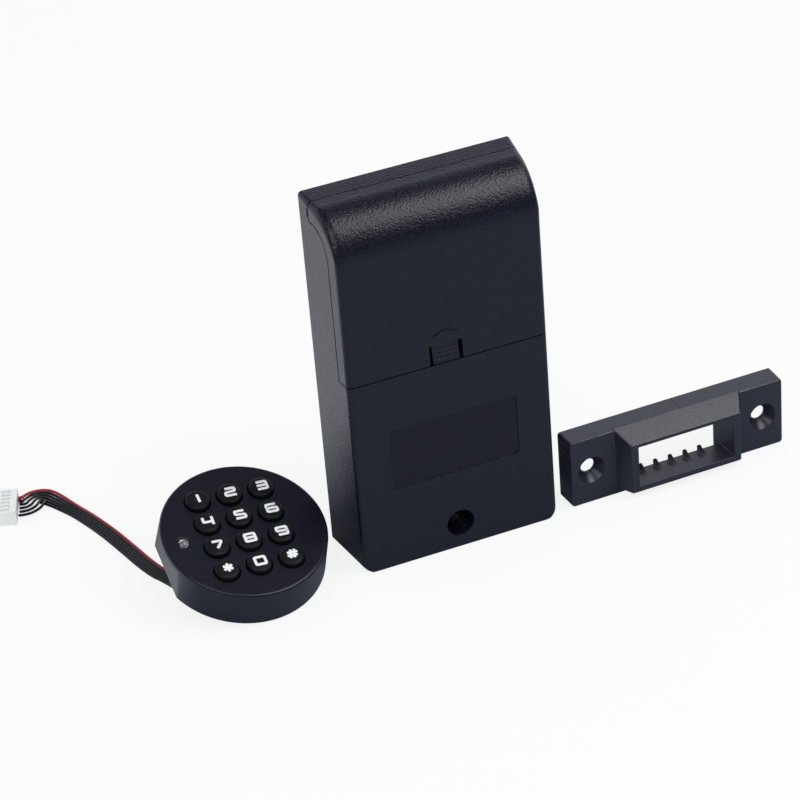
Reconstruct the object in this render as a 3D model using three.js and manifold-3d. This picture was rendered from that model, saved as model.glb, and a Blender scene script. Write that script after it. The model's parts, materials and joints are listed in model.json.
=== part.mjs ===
// Electronic cabinet lock: lock body with battery bay and motor bolt, round keypad on a
// six-wire ribbon, and strike. Millimetres, +Z up. The lock body stands on its lower end at
// the origin, its front faces -Y, and its bolt slides out along +X.
import * as THREE from 'three';
import { mergeVertices } from 'three/addons/utils/BufferGeometryUtils.js';
import Module from 'manifold-3d';

const wasm = await Module();
wasm.setup();

// Shared working values
const overrun = 1.5; // how far a cutting shape runs past the face it cuts
const bond = 0.2; // how far a rib or boss runs into the wall that it grows from
const slideGap = 0.3; // round a piece that moves
const fitGap = 0.3; // round a piece that is dropped in by hand
const roundSides = 20;
const smallSides = 12;
const screwSides = 8;
const keySides = 16;
const cornerSteps = 3;
const coilSteps = 8; // in one turn of a spring
const coilSides = 5;

// Battery cells and their tray
const cellCount = 4;
const cellDiameter = 10.5;
const cellLength = 44.5;
const cellSpacing = 1.5;
const nubDiameter = 3.8;
const nubHeight = 0.8;
const cellEdge = 0.7;
const springHeight = 2.9;
const springRadius = 2.6;
const springWire = 0.5;
const springTurns = 2.2;
const contactThickness = 0.4;
const contactSize = 8;
const trayFloor = 1.2;
const trayWall = 1.25;
const trayFoot = 1.3;
const dividerThickness = 0.9;
const cellPitch = cellDiameter + cellSpacing;

// Lock body
const wall = 2;
const backPlateThickness = 2;
const sideRoom = 8.5; // beside the row of cells: tray wall, cover tongue, screw boss, wall
const frontRoom = 6.85; // from the front face to the cells
const sideDraft = 1.5; // each side leans in by this much towards the front
const edgeRadius = 1.6; // round the front face, apart from its lower end
const cornerRadiusFront = 3.4;
const cornerRadiusBack = 1.2;
const smallestRadius = 0.3;
const crownDepth = 14; // the quarter ellipse between the front and the roof
const crownRise = 15;
const roofRise = 1;
const headroom = 1.4; // between the tray and the roof
const bodyWidth = cellCount * cellPitch + 2 * sideRoom;
const cellRear = frontRoom + cellDiameter;
const bodyDepth = cellRear + fitGap + trayWall + trayFoot + backPlateThickness;
const edgeSteps = 3;
const crownSteps = 7;
const crownStartShare = 1.2; // of the front edge's radius, where the crown's own rings start

// Access hole for the lower fixing screw
const accessHeight = 8.2;
const accessDiameter = 8.5;
const accessWall = 1.5;
const fixingHole = 4.2;
const upperFixingHeight = 12; // above the parting line
const upperFixingGap = 3; // beside the tray
const accessTop = accessHeight + accessDiameter / 2 + accessWall;

// Bolt, its frame and its drive
const boltHeight = 24;
const boltDepth = 8;
const boltTravel = 9;
const boltBevel = 3;
const noseSetback = 0.5;
const boreDiameter = 6.5;
const boreDepth = 22;
const frameThickness = 1.2;
const frameGap = 3.05; // from the access tube to the frame
const earHeight = 6.5;
const earWidth = 6;
const earInset = 12; // from the frame's right end to the middle of its ears
const frameInset = 2.3; // from the side wall to the frame's right end
const frameOverhang = 0.8; // of the frame past the bolt's tail
const padHeight = 0.7;
const padSize = 3;
const partitionGap = 3.4;
const partition = 1.6;
const rimHeight = 1.5; // of the front wall above the partition
const frontClearance = 5.1; // from the front face to the bolt
const railHeight = 1.5;
const railInset = 4.5; // from the bolt's top and bottom edges
const motorLength = 16.5;
const motorHeight = 12;
const motorGap = 0.8;
const tailGap = 4.8;
const motorBearing = 0.9; // length of the motor's bearing past its can
const clipThickness = 1.2;
const clipInset = 1.5;
const shaftRadius = 1.1;
const shaftEndGap = 2;
const collarRadius = 2.5;
const collarLength = 1.5;
const coilRadius = 2.1;
const coilWire = 0.6;
const coilPitch = 2;
const coilLeadShare = 0.75; // of a pitch, so that the pin stands midway between two turns
const coilEndShare = 0.75;
const pinRadius = 0.35;
const pinInset = 6; // from the bolt's tail
const pinReach = 0.3; // of the pin's tip short of the shaft
const pinSetback = 0.4; // of the pin's head below the bolt's top
const boltLow = accessTop + frameGap + earHeight + frameThickness + slideGap;
const boltMiddle = boltLow + boltHeight / 2;
const boltHigh = boltLow + boltHeight;
const frameLow = boltLow - slideGap - frameThickness - earHeight;
const frameHigh = boltHigh + slideGap + frameThickness + earHeight;
const partitionLow = frameHigh + partitionGap;
const partitionTop = partitionLow + partition;
const partingHeight = partitionTop + rimHeight;

// Heights of the battery bay
const trayLow = partitionTop;
const contactLow = trayLow + trayFloor;
const stackLow = contactLow + contactThickness;
const stackHigh = stackLow + cellLength + springHeight;
const trayHigh = stackHigh + contactThickness + trayFloor;
const crownBase = trayHigh + headroom + wall - crownRise;
const bodyHeight = crownBase + crownRise + roofRise;

// Battery cover
const coverGap = 0.3;
const skirtDepth = 5.75;
const skirtRise = 9.25; // of the skirt's curve above the base of the crown
const topParting = 16.35;
const tongueWidth = 3;
const tongueThickness = 1.1;
const tongueReach = 2.4; // behind the parting line
const tongueRoot = 3.6;
const tongueGap = 0.6; // beside the tray
const reliefWidth = 0.75;
const reliefHeight = 2.6;
const reliefDrop = 0.3; // below the roof's underside

// Cover latch
const latchCentre = -0.5;
const latchWidth = 8.2;
const slotWidth = 1;
const slotHeight = 6.3;
const latchFlangeWidth = 14;
const latchFlangeRise = 5.2; // above the slots
const latchTravel = 1.6;
const latchSetback = 1; // of the latch's face behind the cover's face
const latchThickness = 1.6;
const latchOverlap = 1.5; // of the flange below the top of the slots
const coverSkin = 0.7;
const pocketRoom = 0.4;
const hookWidth = 7;
const hookThickness = 1.3;
const hookDrop = 1.05; // behind the rim of the front wall
const hookRise = 3.4;
const hookRoom = 2.2; // behind the hook
const gripCount = 3;
const gripDepth = 0.35;
const gripWidth = 0.5;
const gripPitch = 1.4;
const guideWall = 1.2;
const guideLip = 1.2;
const stopHeight = 1.2;
const stopWidth = 5;
const latchSpringHeight = 4.1;
const latchSpringRadius = 0.95;
const latchSpringWire = 0.35;
const latchSpringTurns = 4;
const arrowSpan = 7.7;
const arrowRise = 2;
const arrowLine = 0.7;
const arrowDepth = 0.3;
const arrowHeight = 9.4; // of its ends above the parting line

// Label recess, left bare
const labelWidth = 40.2;
const labelHeight = 20.1;
const labelMiddle = 36;
const labelDepth = 0.5;
const labelRadius = 1.5;

// Back screws and bosses
const backScrewRadius = 1;
const backScrewHead = 2.2;
const backScrewLength = 8;
const lowerBossRadius = 2.6;
const lowerBossHeight = 8;
const lowerBossInset = 8.5; // from the back corner of the body
const upperBossRadius = 2.2;
const upperBossDrop = 13; // below the top
const upperBossInset = 4.6;
const upperBossLength = 8.2;
const screwHoleGap = 0.3;
const slotDepth = 0.5;
const slotCut = 0.6;

// Circuit board in the lock body
const boardThickness = 1.2;
const boardMargin = 1.5; // past the ears of the bolt frame
const boardSideGap = 2.4;
const boardPostRadius = 2;
const boardPostInset = 3;
const screwClearance = 0.8;
const buzzerRadius = 6;
const buzzerHeight = 3;
const buzzerPort = 0.8;
const buzzerSide = -15;
const buzzerDrop = 11; // below the top of the board
const chipSize = 10;
const chipHeight = 1.5;
const chipSide = 13;
const frameScrewRadius = 0.9;
const frameScrewHead = 1.9;
const frameScrewHeadHeight = 1.3;
const frameScrewLength = 6;
const postRadius = 2.5;

// Ribbon, its connector and its socket
const wireCount = 6;
const wirePitch = 0.9;
const connectorPitch = 2;
const connectorEnds = 2.9; // both ends together, past the six ways
const connectorThickness = 4.8;
const connectorLength = 7.8;
const wireWindowWidth = 1.2;
const wireWindowDepth = 1.6;
const wireWindowShare = 0.5; // of the connector's thickness
const latchWindowDepth = 0.8;
const socketWall = 1.3;
const socketFloor = 1;
const socketGap = 0.25;
const socketHeight = 21.3;
const socketPin = 0.6;
const socketPinLength = 3.2;
const socketMargin = 0.3;
const ribbonWidth = wireCount * wirePitch;
const connectorWidth = wireCount * connectorPitch + connectorEnds - connectorPitch;

// Keypad
const keypadRadius = 25;
const keypadDraft = 0.5; // the wall leans in by this much towards the face
const keypadHeight = 11.8;
const keypadEdge = 0.8;
const keypadWall = 2.2;
const facePlate = 1.8;
const flatInset = 2.05; // of the flat inside the keypad's round wall
const flatLip = 1.5; // the face stays round above the flat by this much
const flatWall = 1.8;
const keyShare = 0.296; // keys, their pitches and the lamp keep to shares of the keypad's radius
const keyHoleGap = 0.3;
const keyProud = 1.5;
const keyShoulder = 0.5;
const keyColumnShare = 0.39;
const keyRowShare = 0.354;
const keyTravel = 1;
const keyFlange = 0.25; // past the hole's edge
const keyFlangeHeight = 1.1;
const keyFlangeGap = 0.4;
const keyStemInset = 0.4; // all round, from the key's side to its stem
const keyBoardGap = 0.3; // left under a pressed key
const matThickness = 0.9;
const matGap = 1.3; // from the keypad's wall to the mat
const matRim = 1.3;
const matFlatGap = 1.2;
const matDrop = 0.3; // below a pressed key's flange
const keypadBoardThickness = 1.6;
const keypadBoardGap = 1; // from the keypad's wall to its board
const keypadPlateThickness = 1.7;
const keypadScrewRadius = 0.9;
const keypadScrewHead = 1.8;
const keypadScrewLength = 6.5;
const keypadBossRadius = 2.1;
const keypadBossInset = 0.5; // from the keypad's wall to its screw bosses
const keypadScrewAngles = [-30, 90, 210];
const ledSideShare = -0.736;
const ledRise = -0.2;
const ledRadius = 1.5;
const ledGap = 0.3;
const ledProud = 0.6;
const ledRing = 0.7;
const ledRingDepth = 0.4;
const ledDomeShare = 0.5; // of the lamp's radius, the rise of its dome
const keypadPostRadius = 3.5;
const keypadPostLength = 7.65;
const keypadPostShare = 0.72; // of the keypad's radius, from post to post
const insertRadius = 2;
const insertBore = 1.25;
const insertLength = 5.4;
const insertRecess = 0.6;
const ribbonSlotShare = -0.66;
const ribbonSlotRise = -1.5;
const ribbonSlotWidth = 6.8;
const ribbonSlotHeight = 3.2;
const keypadSides = 60;
const keypadTopRadius = keypadRadius - keypadDraft;
const flatDistance = keypadRadius - flatInset;
const keyDiameter = keypadRadius * keyShare;
const keyColumnPitch = keypadRadius * keyColumnShare;
const keyRowPitch = keypadRadius * keyRowShare;
const keypadInner = keypadRadius - keypadWall;
const matRadius = keypadInner - matGap;
const keypadBoardRadius = keypadInner - keypadBoardGap;
const keypadScrewCircle = keypadInner - keypadBossInset - keypadBossRadius;
const ledSide = keypadRadius * ledSideShare;
const keypadPostSpan = keypadRadius * keypadPostShare;
const ribbonSlotSide = keypadRadius * ribbonSlotShare;

// Where the keypad lies, on its lower rim and its two posts
const keypadX = -63.34;
const keypadY = 4.65;
const keypadLean = Math.atan2(keypadPostLength, keypadRadius - keypadPostRadius);
const keypadHeading = THREE.MathUtils.degToRad(-77.1);
const keypadSpin = THREE.MathUtils.degToRad(-1.58);

// Strike
const strikeLength = 72.2;
const strikeHeight = 22.5;
const strikeThickness = 7.8;
const strikeEndDraft = 0.3;
const strikeEdge = 0.7;
const keeperLength = 42.2;
const keeperFrontLength = 36.6;
const keeperReach = 5.7;
const keeperLow = 2.3;
const keeperRampDrop = 3.45;
const windowLength = 32;
const windowLow = 4.3;
const windowHigh = 18;
const pocketDepth = 4.4;
const gussetCount = 5;
const gussetPitch = 5;
const gussetShift = -1.4; // of the row of gussets from the middle of the window
const gussetThickness = 1.2;
const gussetHeight = 1.7;
const gussetInset = 4.4;
const strikeHoleInset = 7.2;
const strikeHoleDiameter = 4.6;
const strikeSinkDiameter = 9;
const strikeSinkDepth = 2.9;
const screwSeat = 4; // plate left under each screw head, in front of the pocket at the back
const screwPocketLength = 12;
const screwPocketRim = 1.9;
const strikeX = 36.65;
const strikeFrontY = -9.28;
const strikeYaw = THREE.MathUtils.degToRad(0.9);

// The ribbon's route, chosen by hand: down from the keypad's back, then along the table
const ribbonRoute = [
  [-79.7, 2.9, 10.8],
  [-79.8, 3.45, 9.3],
  [-80.1, 4.4, 6.4],
  [-80.4, 6, 3.7],
  [-80.7, 7.7, 2.1],
  [-81.1, 10, 1],
  [-81.7, 12.7, 0.6],
  [-83.2, 16.5, 0.55],
  [-84.7, 20, 0.5],
  [-86.6, 27, 0.5],
  [-88.3, 35.3, 0.5],
  [-90.9, 46.9, 0.5],
  [-94.2, 58, 0.5],
  [-97.2, 65.8, 0.5],
  [-99.6, 71.4, 0.55],
  [-101.8, 74.6, 0.75],
  [-104.2, 74.8, 1.15],
  [-106.2, 73.1, 1.7],
  [-107.8, 71.2, 2.1],
  [-109.4, 70.4, 2.35],
  [-110.9, 70.8, 2.4],
];
const ribbonSteps = 40;
const ribbonEdge = 0.25;
const connectorCentre = [-115.1, 72.45];
const connectorTurn = THREE.MathUtils.degToRad(160);

// Solids from three.js geometry
function solid(geometry) {
  geometry.deleteAttribute('normal');
  geometry.deleteAttribute('uv');
  const merged = mergeVertices(geometry);
  const corners = merged.attributes.position;
  const faces = [];
  let volume = 0;
  const a = new THREE.Vector3();
  const b = new THREE.Vector3();
  const c = new THREE.Vector3();
  for (let i = 0; i < merged.index.count; i += 3) {
    const face = [merged.index.getX(i), merged.index.getX(i + 1), merged.index.getX(i + 2)];
    if (face[0] === face[1] || face[1] === face[2] || face[2] === face[0]) continue;
    a.fromBufferAttribute(corners, face[0]);
    b.fromBufferAttribute(corners, face[1]);
    c.fromBufferAttribute(corners, face[2]);
    volume += a.dot(b.cross(c));
    faces.push(face);
  }
  if (volume < 0) faces.forEach((face) => face.reverse());
  return new wasm.Manifold(new wasm.Mesh({
    numProp: 3,
    vertProperties: Float32Array.from(corners.array),
    triVerts: Uint32Array.from(faces.flat()),
  }));
}

function geometryOf(manifold) {
  const mesh = manifold.getMesh();
  const geometry = new THREE.BufferGeometry();
  geometry.setAttribute('position', new THREE.BufferAttribute(mesh.vertProperties, 3));
  geometry.setIndex(new THREE.BufferAttribute(mesh.triVerts, 1));
  return geometry;
}

function block(low, high) {
  const size = high.map((value, i) => value - low[i]);
  const box = new THREE.BoxGeometry(...size);
  return solid(box.translate(...low.map((value, i) => value + size[i] / 2)));
}

const axisTurns = {
  x: new THREE.Matrix4().makeRotationZ(-Math.PI / 2),
  y: new THREE.Matrix4(),
  z: new THREE.Matrix4().makeRotationX(Math.PI / 2),
};

function cone(axis, start, length, startRadius, endRadius, sides = roundSides) {
  const geometry = new THREE.CylinderGeometry(endRadius, startRadius, length, sides);
  geometry.translate(0, length / 2, 0).applyMatrix4(axisTurns[axis]);
  return solid(geometry.translate(...start));
}

function rod(axis, start, length, radius, sides = roundSides) {
  return cone(axis, start, length, radius, radius, sides);
}

// A turned solid on the Z axis from [radius, height] points
function turned(profile, sides) {
  const points = profile.map(([radius, height]) => new THREE.Vector2(radius, height));
  return solid(new THREE.LatheGeometry(points, sides).rotateX(Math.PI / 2));
}

// An outline of [y, z] points run along X, of [x, z] points along Y, or of [x, y] along Z
const prismBases = {
  x: new THREE.Matrix4().makeBasis(
    new THREE.Vector3(0, 1, 0), new THREE.Vector3(0, 0, 1), new THREE.Vector3(1, 0, 0)),
  y: new THREE.Matrix4().makeBasis(
    new THREE.Vector3(1, 0, 0), new THREE.Vector3(0, 0, 1), new THREE.Vector3(0, -1, 0)),
  z: new THREE.Matrix4(),
};

function prism(axis, outline, from, to) {
  const shape = outline instanceof THREE.Shape
    ? outline
    : new THREE.Shape(outline.map(([u, v]) => new THREE.Vector2(u, v)));
  const settings = { depth: to - from, bevelEnabled: false, curveSegments: cornerSteps };
  const geometry = new THREE.ExtrudeGeometry(shape, settings).applyMatrix4(prismBases[axis]);
  const start = { x: [from, 0, 0], y: [0, to, 0], z: [0, 0, from] }[axis];
  return solid(geometry.translate(...start));
}

function roundedShape(width, height, radius, centreX, centreY) {
  const right = width / 2 - radius;
  const top = height / 2 - radius;
  const shape = new THREE.Shape();
  shape.absarc(centreX + right, centreY + top, radius, 0, Math.PI / 2);
  shape.absarc(centreX - right, centreY + top, radius, Math.PI / 2, Math.PI);
  shape.absarc(centreX - right, centreY - top, radius, Math.PI, 1.5 * Math.PI);
  shape.absarc(centreX + right, centreY - top, radius, 1.5 * Math.PI, 2 * Math.PI);
  return shape;
}

// A closed skin over rings that have as many points each, with flat ends
function skin(rings) {
  const count = rings[0].length;
  const positions = rings.flat(2);
  const faces = [];
  for (let r = 0; r < rings.length - 1; r += 1) {
    for (let i = 0; i < count; i += 1) {
      const near = r * count + i;
      const nearNext = r * count + ((i + 1) % count);
      faces.push(near, nearNext, near + count, nearNext, nearNext + count, near + count);
    }
  }
  const last = (rings.length - 1) * count;
  for (let i = 1; i < count - 1; i += 1) {
    faces.push(0, i + 1, i, last, last + i, last + i + 1);
  }
  const geometry = new THREE.BufferGeometry();
  geometry.setAttribute('position', new THREE.Float32BufferAttribute(positions, 3));
  geometry.setIndex(faces);
  return solid(geometry);
}

// A rounded rectangle in the plane y, as a ring of points
function ringAt(y, left, right, low, high, radius) {
  const corners = [
    [right - radius, high - radius, 0],
    [left + radius, high - radius, 1],
    [left + radius, low + radius, 2],
    [right - radius, low + radius, 3],
  ];
  const ring = [];
  for (const [x, z, quarter] of corners) {
    for (let i = 0; i <= cornerSteps; i += 1) {
      const angle = (quarter + i / cornerSteps) * Math.PI / 2;
      ring.push([x + radius * Math.cos(angle), y, z + radius * Math.sin(angle)]);
    }
  }
  return ring;
}

// A coil of round wire about the Z axis, from height 0
function coil(radius, wire, pitch, turns) {
  const steps = Math.round(turns * coilSteps);
  const rings = [];
  for (let i = 0; i <= steps; i += 1) {
    const turn = (i / coilSteps) * 2 * Math.PI;
    const rise = wire / 2 + pitch * i / coilSteps;
    const ring = [];
    for (let side = 0; side < coilSides; side += 1) {
      const angle = (side / coilSides) * 2 * Math.PI;
      const out = radius + wire / 2 * Math.cos(angle);
      ring.push([out * Math.cos(turn), out * Math.sin(turn), rise + wire / 2 * Math.sin(angle)]);
    }
    rings.push(ring);
  }
  return skin(rings);
}

// A screw along -Y from its head's outer face: countersunk or pan head, with a cross slot
function screw(x, y, z, headRadius, headHeight, radius, length, sunk) {
  const tip = rod('y', [x, y - length, z], length - headHeight + bond, radius, screwSides);
  const neck = sunk ? radius : headRadius;
  const head = cone('y', [x, y - headHeight, z], headHeight, neck, headRadius, smallSides);
  const slotReach = headRadius + overrun;
  const across = block([x - slotReach, y - slotDepth, z - slotCut / 2],
    [x + slotReach, y + overrun, z + slotCut / 2]);
  return head.add(tip).subtract(across);
}

const finishes = {
  shell: { color: 0x24252d, roughness: 0.6, metalness: 0 },
  keypad: { color: 0x24252d, roughness: 0.45, metalness: 0 },
  strike: { color: 0x4a4c5c, roughness: 0.5, metalness: 0 },
  inner: { color: 0x2c2d31, roughness: 0.6, metalness: 0 },
  rubber: { color: 0x101013, roughness: 0.7, metalness: 0 },
  steel: { color: 0xb8babd, roughness: 0.35, metalness: 1 },
  brass: { color: 0xb9954b, roughness: 0.35, metalness: 1 },
  cell: { color: 0x3a3c42, roughness: 0.35, metalness: 0 },
  board: { color: 0x14532f, roughness: 0.5, metalness: 0 },
  chip: { color: 0x18181a, roughness: 0.4, metalness: 0 },
  ivory: { color: 0xece9e0, roughness: 0.5, metalness: 0 },
  lens: { color: 0xdfe4e8, roughness: 0.1, metalness: 0 },
  wires: { color: 0x17181d, roughness: 0.5, metalness: 0 },
};

const lock = new THREE.Group();

function place(name, finish, body, parent = lock) {
  const material = new THREE.MeshStandardMaterial(finishes[finish]);
  const mesh = new THREE.Mesh(geometryOf(body), material);
  mesh.name = name;
  parent.add(mesh);
  return mesh;
}

// Depths run from the front face; this turns one into the frame's Y
function yAt(depth) {
  return depth - bodyDepth / 2;
}

// The body's outer form drawn in by an offset, from the front to a depth
function crownHeight(depth, offset) {
  if (depth >= crownDepth) {
    const along = (depth - crownDepth) / (bodyDepth - crownDepth);
    return crownBase + crownRise - offset + roofRise * along;
  }
  const across = (crownDepth - depth) / (crownDepth - offset);
  return crownBase + (crownRise - offset) * Math.sqrt(Math.max(0, 1 - across * across));
}

function crownFront(height, offset) {
  const up = (height - crownBase) / (crownRise - offset);
  return crownDepth - (crownDepth - offset) * Math.sqrt(Math.max(0, 1 - up * up));
}

function halfWidth(depth, offset) {
  return bodyWidth / 2 - sideDraft * (1 - depth / bodyDepth) - offset;
}

function bodyRing(depth, offset, inset) {
  const share = Math.min(depth / bodyDepth, 1);
  const corner = cornerRadiusFront + (cornerRadiusBack - cornerRadiusFront) * share;
  const radius = Math.max(corner - inset - offset, smallestRadius);
  const side = halfWidth(depth, offset) - inset;
  return ringAt(yAt(depth), -side, side, offset, crownHeight(depth, offset), radius);
}

function bodyForm(offset, end) {
  const round = Math.max(edgeRadius - offset, smallestRadius);
  const rings = [];
  for (let i = 0; i <= edgeSteps; i += 1) {
    const angle = (i / edgeSteps) * Math.PI / 2;
    rings.push(bodyRing(offset + round * (1 - Math.cos(angle)), offset, round * (1 - Math.sin(angle))));
  }
  for (let i = 1; i <= crownSteps; i += 1) {
    const depth = crownDepth - (crownDepth - offset) * Math.cos((i / crownSteps) * Math.PI / 2);
    if (depth > offset + round * crownStartShare) rings.push(bodyRing(depth, offset, 0));
  }
  rings.push(bodyRing(end, offset, 0));
  return skin(rings);
}

// What the battery cover takes of the body's form, in [y, z]
function coverOutline(grow) {
  const points = [[yAt(-overrun), partingHeight + grow], [yAt(skirtDepth - grow), partingHeight + grow]];
  const reach = crownDepth - skirtDepth + grow;
  for (let i = 0; i <= crownSteps; i += 1) {
    const angle = (i / crownSteps) * Math.PI / 2;
    const depth = crownDepth - reach * Math.cos(angle);
    points.push([yAt(depth), crownBase + (skirtRise + grow) * Math.sin(angle)]);
  }
  points.push([yAt(topParting - grow), crownBase + skirtRise + grow]);
  points.push([yAt(topParting - grow), bodyHeight + overrun]);
  points.push([yAt(-overrun), bodyHeight + overrun]);
  return points;
}

function coverZone(grow) {
  return prism('x', coverOutline(grow), -bodyWidth, bodyWidth);
}

const shell = bodyForm(0, bodyDepth).subtract(bodyForm(wall, bodyDepth + overrun));
const innerBack = bodyDepth - backPlateThickness;
const frontWallY = yAt(wall);
const boltFrontY = yAt(frontClearance);
const boltBackY = boltFrontY + boltDepth;
const boltAxisY = boltFrontY + boltDepth / 2;
const boltAxisDepth = frontClearance + boltDepth / 2;
const frameFrontY = boltBackY + slideGap;
const frameBackY = frameFrontY + frameThickness;
const boardFrontY = frameBackY + padHeight;
const boardBackY = boardFrontY + boardThickness;
const boardHalfWidth = halfWidth(boltAxisDepth, wall) - boardSideGap;
const boardLow = frameLow - boardMargin;
const boardHigh = frameHigh + boardMargin;
const innerSide = halfWidth(boltAxisDepth, wall);
const motorLeft = -innerSide + motorGap;
const motorRight = motorLeft + motorLength;
const boltTail = motorRight + tailGap;
const boltNose = halfWidth(boltAxisDepth, 0) - noseSetback;
const frameLeft = boltTail - frameOverhang;
const frameRight = innerSide - frameInset;
const earX = frameRight - earInset - earWidth / 2;
const earScrews = [frameLow + earHeight / 2 - padHeight, frameHigh - earHeight / 2 + padHeight];
const cellAxisY = yAt(frontRoom + cellDiameter / 2);
const cellXs = Array.from({ length: cellCount }, (_, i) => (i - (cellCount - 1) / 2) * cellPitch);
const trayHalfWidth = cellCount * cellPitch / 2 - cellSpacing / 2 + fitGap + trayWall;
const latchTop = partingHeight + slotHeight;
const flangeTop = latchTop + latchFlangeRise;
const flangeLow = latchTop - latchOverlap;
const pocketTop = flangeTop + latchTravel + pocketRoom;
const stopLow = flangeTop + latchSpringHeight + 2 * slideGap;
const tongueX = trayHalfWidth + tongueGap + tongueWidth / 2;
const backScrews = [
  [-1, lowerBossHeight], [1, lowerBossHeight],
  [-1, bodyHeight - upperBossDrop], [1, bodyHeight - upperBossDrop],
].map(([side, z], i) => {
  const inset = i < 2 ? lowerBossInset : upperBossInset;
  return [side * (bodyWidth / 2 - inset), z];
});
const boardPosts = [-1, 1].flatMap((side) => [boardLow, boardHigh].map((z) => [
  side * (boardHalfWidth - boardPostInset),
  z === boardLow ? z + boardPostInset : z - boardPostInset,
]));

// Lock body
function housing() {
  let body = shell.subtract(coverZone(-coverGap / 2));
  const side = halfWidth(innerBack, wall);
  const partition = block([-side, yAt(wall - bond), partitionLow],
    [side, yAt(innerBack - fitGap), partitionTop]);
  body = body.add(partition.intersect(bodyForm(bond, bodyDepth)));
  const tube = rod('y', [0, yAt(wall - bond), accessHeight], innerBack - fitGap - wall + bond,
    accessDiameter / 2 + accessWall);
  body = body.add(tube);
  for (const z of earScrews) {
    body = body.add(rod('y', [earX, yAt(wall - bond), z], frameFrontY - yAt(wall - bond),
      postRadius, smallSides));
  }
  for (const z of [boltLow + railInset, boltHigh - railInset]) {
    const rail = block([frameLeft, yAt(wall - bond), z - railHeight / 2],
      [frameRight, boltFrontY - slideGap, z + railHeight / 2]);
    body = body.add(rail);
  }
  backScrews.forEach(([x, z], i) => {
    const start = i < 2 ? wall - bond : innerBack - upperBossLength;
    const radius = i < 2 ? lowerBossRadius : upperBossRadius;
    const boss = rod('y', [x, yAt(start), z], innerBack - start, radius, smallSides);
    body = body.add(boss.intersect(bodyForm(bond, bodyDepth)));
  });
  for (const [x, z] of backScrews) {
    const length = backScrewLength - backPlateThickness + overrun;
    const hole = rod('y', [x, yAt(innerBack) - length, z], length + overrun,
      backScrewRadius + screwHoleGap, screwSides);
    body = body.subtract(hole);
  }
  for (const z of earScrews) {
    const length = frameScrewLength + overrun;
    const hole = rod('y', [earX, frameFrontY - length, z], length + overrun,
      frameScrewRadius + screwHoleGap, screwSides);
    body = body.subtract(hole);
  }
  body = body.subtract(rod('y', [0, yAt(-overrun), accessHeight], bodyDepth, accessDiameter / 2));
  body = body.subtract(prism('y',
    roundedShape(labelWidth, labelHeight, labelRadius, 0, labelMiddle), yAt(-overrun), yAt(labelDepth)));
  body = body.subtract(block([innerSide - overrun, boltFrontY - slideGap, boltLow - slideGap],
    [bodyWidth, boltBackY + slideGap, boltHigh + slideGap]));
  const reliefTop = crownHeight(topParting, wall) - reliefDrop;
  for (const end of [-1, 1]) {
    const near = end * (halfWidth(topParting, wall) - overrun);
    const far = end * bodyWidth;
    body = body.subtract(block([Math.min(near, far), yAt(topParting - overrun), reliefTop - reliefHeight],
      [Math.max(near, far), yAt(topParting + reliefWidth), reliefTop]));
  }
  return body;
}

function backPlate() {
  const offset = wall + fitGap;
  let body = skin([bodyRing(innerBack, offset, 0), bodyRing(bodyDepth, offset, 0)]);
  for (const [x, z] of boardPosts) {
    const length = yAt(innerBack) - boardBackY;
    body = body.add(rod('y', [x, boardBackY, z], length + bond, boardPostRadius, smallSides));
  }
  for (const [x, z] of backScrews) {
    const reach = backPlateThickness + 2 * overrun;
    body = body.subtract(rod('y', [x, yAt(innerBack - overrun), z], reach,
      backScrewRadius + screwHoleGap, smallSides));
    body = body.subtract(cone('y', [x, yAt(bodyDepth) - backScrewHead + backScrewRadius, z],
      backScrewHead - backScrewRadius, backScrewRadius + screwHoleGap,
      backScrewHead + screwHoleGap, smallSides));
  }
  const fixings = [[0, accessHeight]];
  for (const side of [-1, 1]) {
    fixings.push([side * (trayHalfWidth + upperFixingGap), partingHeight + upperFixingHeight]);
  }
  for (const [x, z] of fixings) {
    body = body.subtract(rod('y', [x, yAt(innerBack - overrun), z],
      backPlateThickness + 2 * overrun, fixingHole / 2));
  }
  const mouthX = connectorWidth / 2 + socketGap + socketWall + socketMargin;
  const mouthZ = connectorThickness / 2 + socketGap + socketWall + socketMargin;
  return body.subtract(block([-mouthX, yAt(innerBack - overrun), socketHeight - mouthZ],
    [mouthX, yAt(bodyDepth + overrun), socketHeight + mouthZ]));
}

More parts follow.
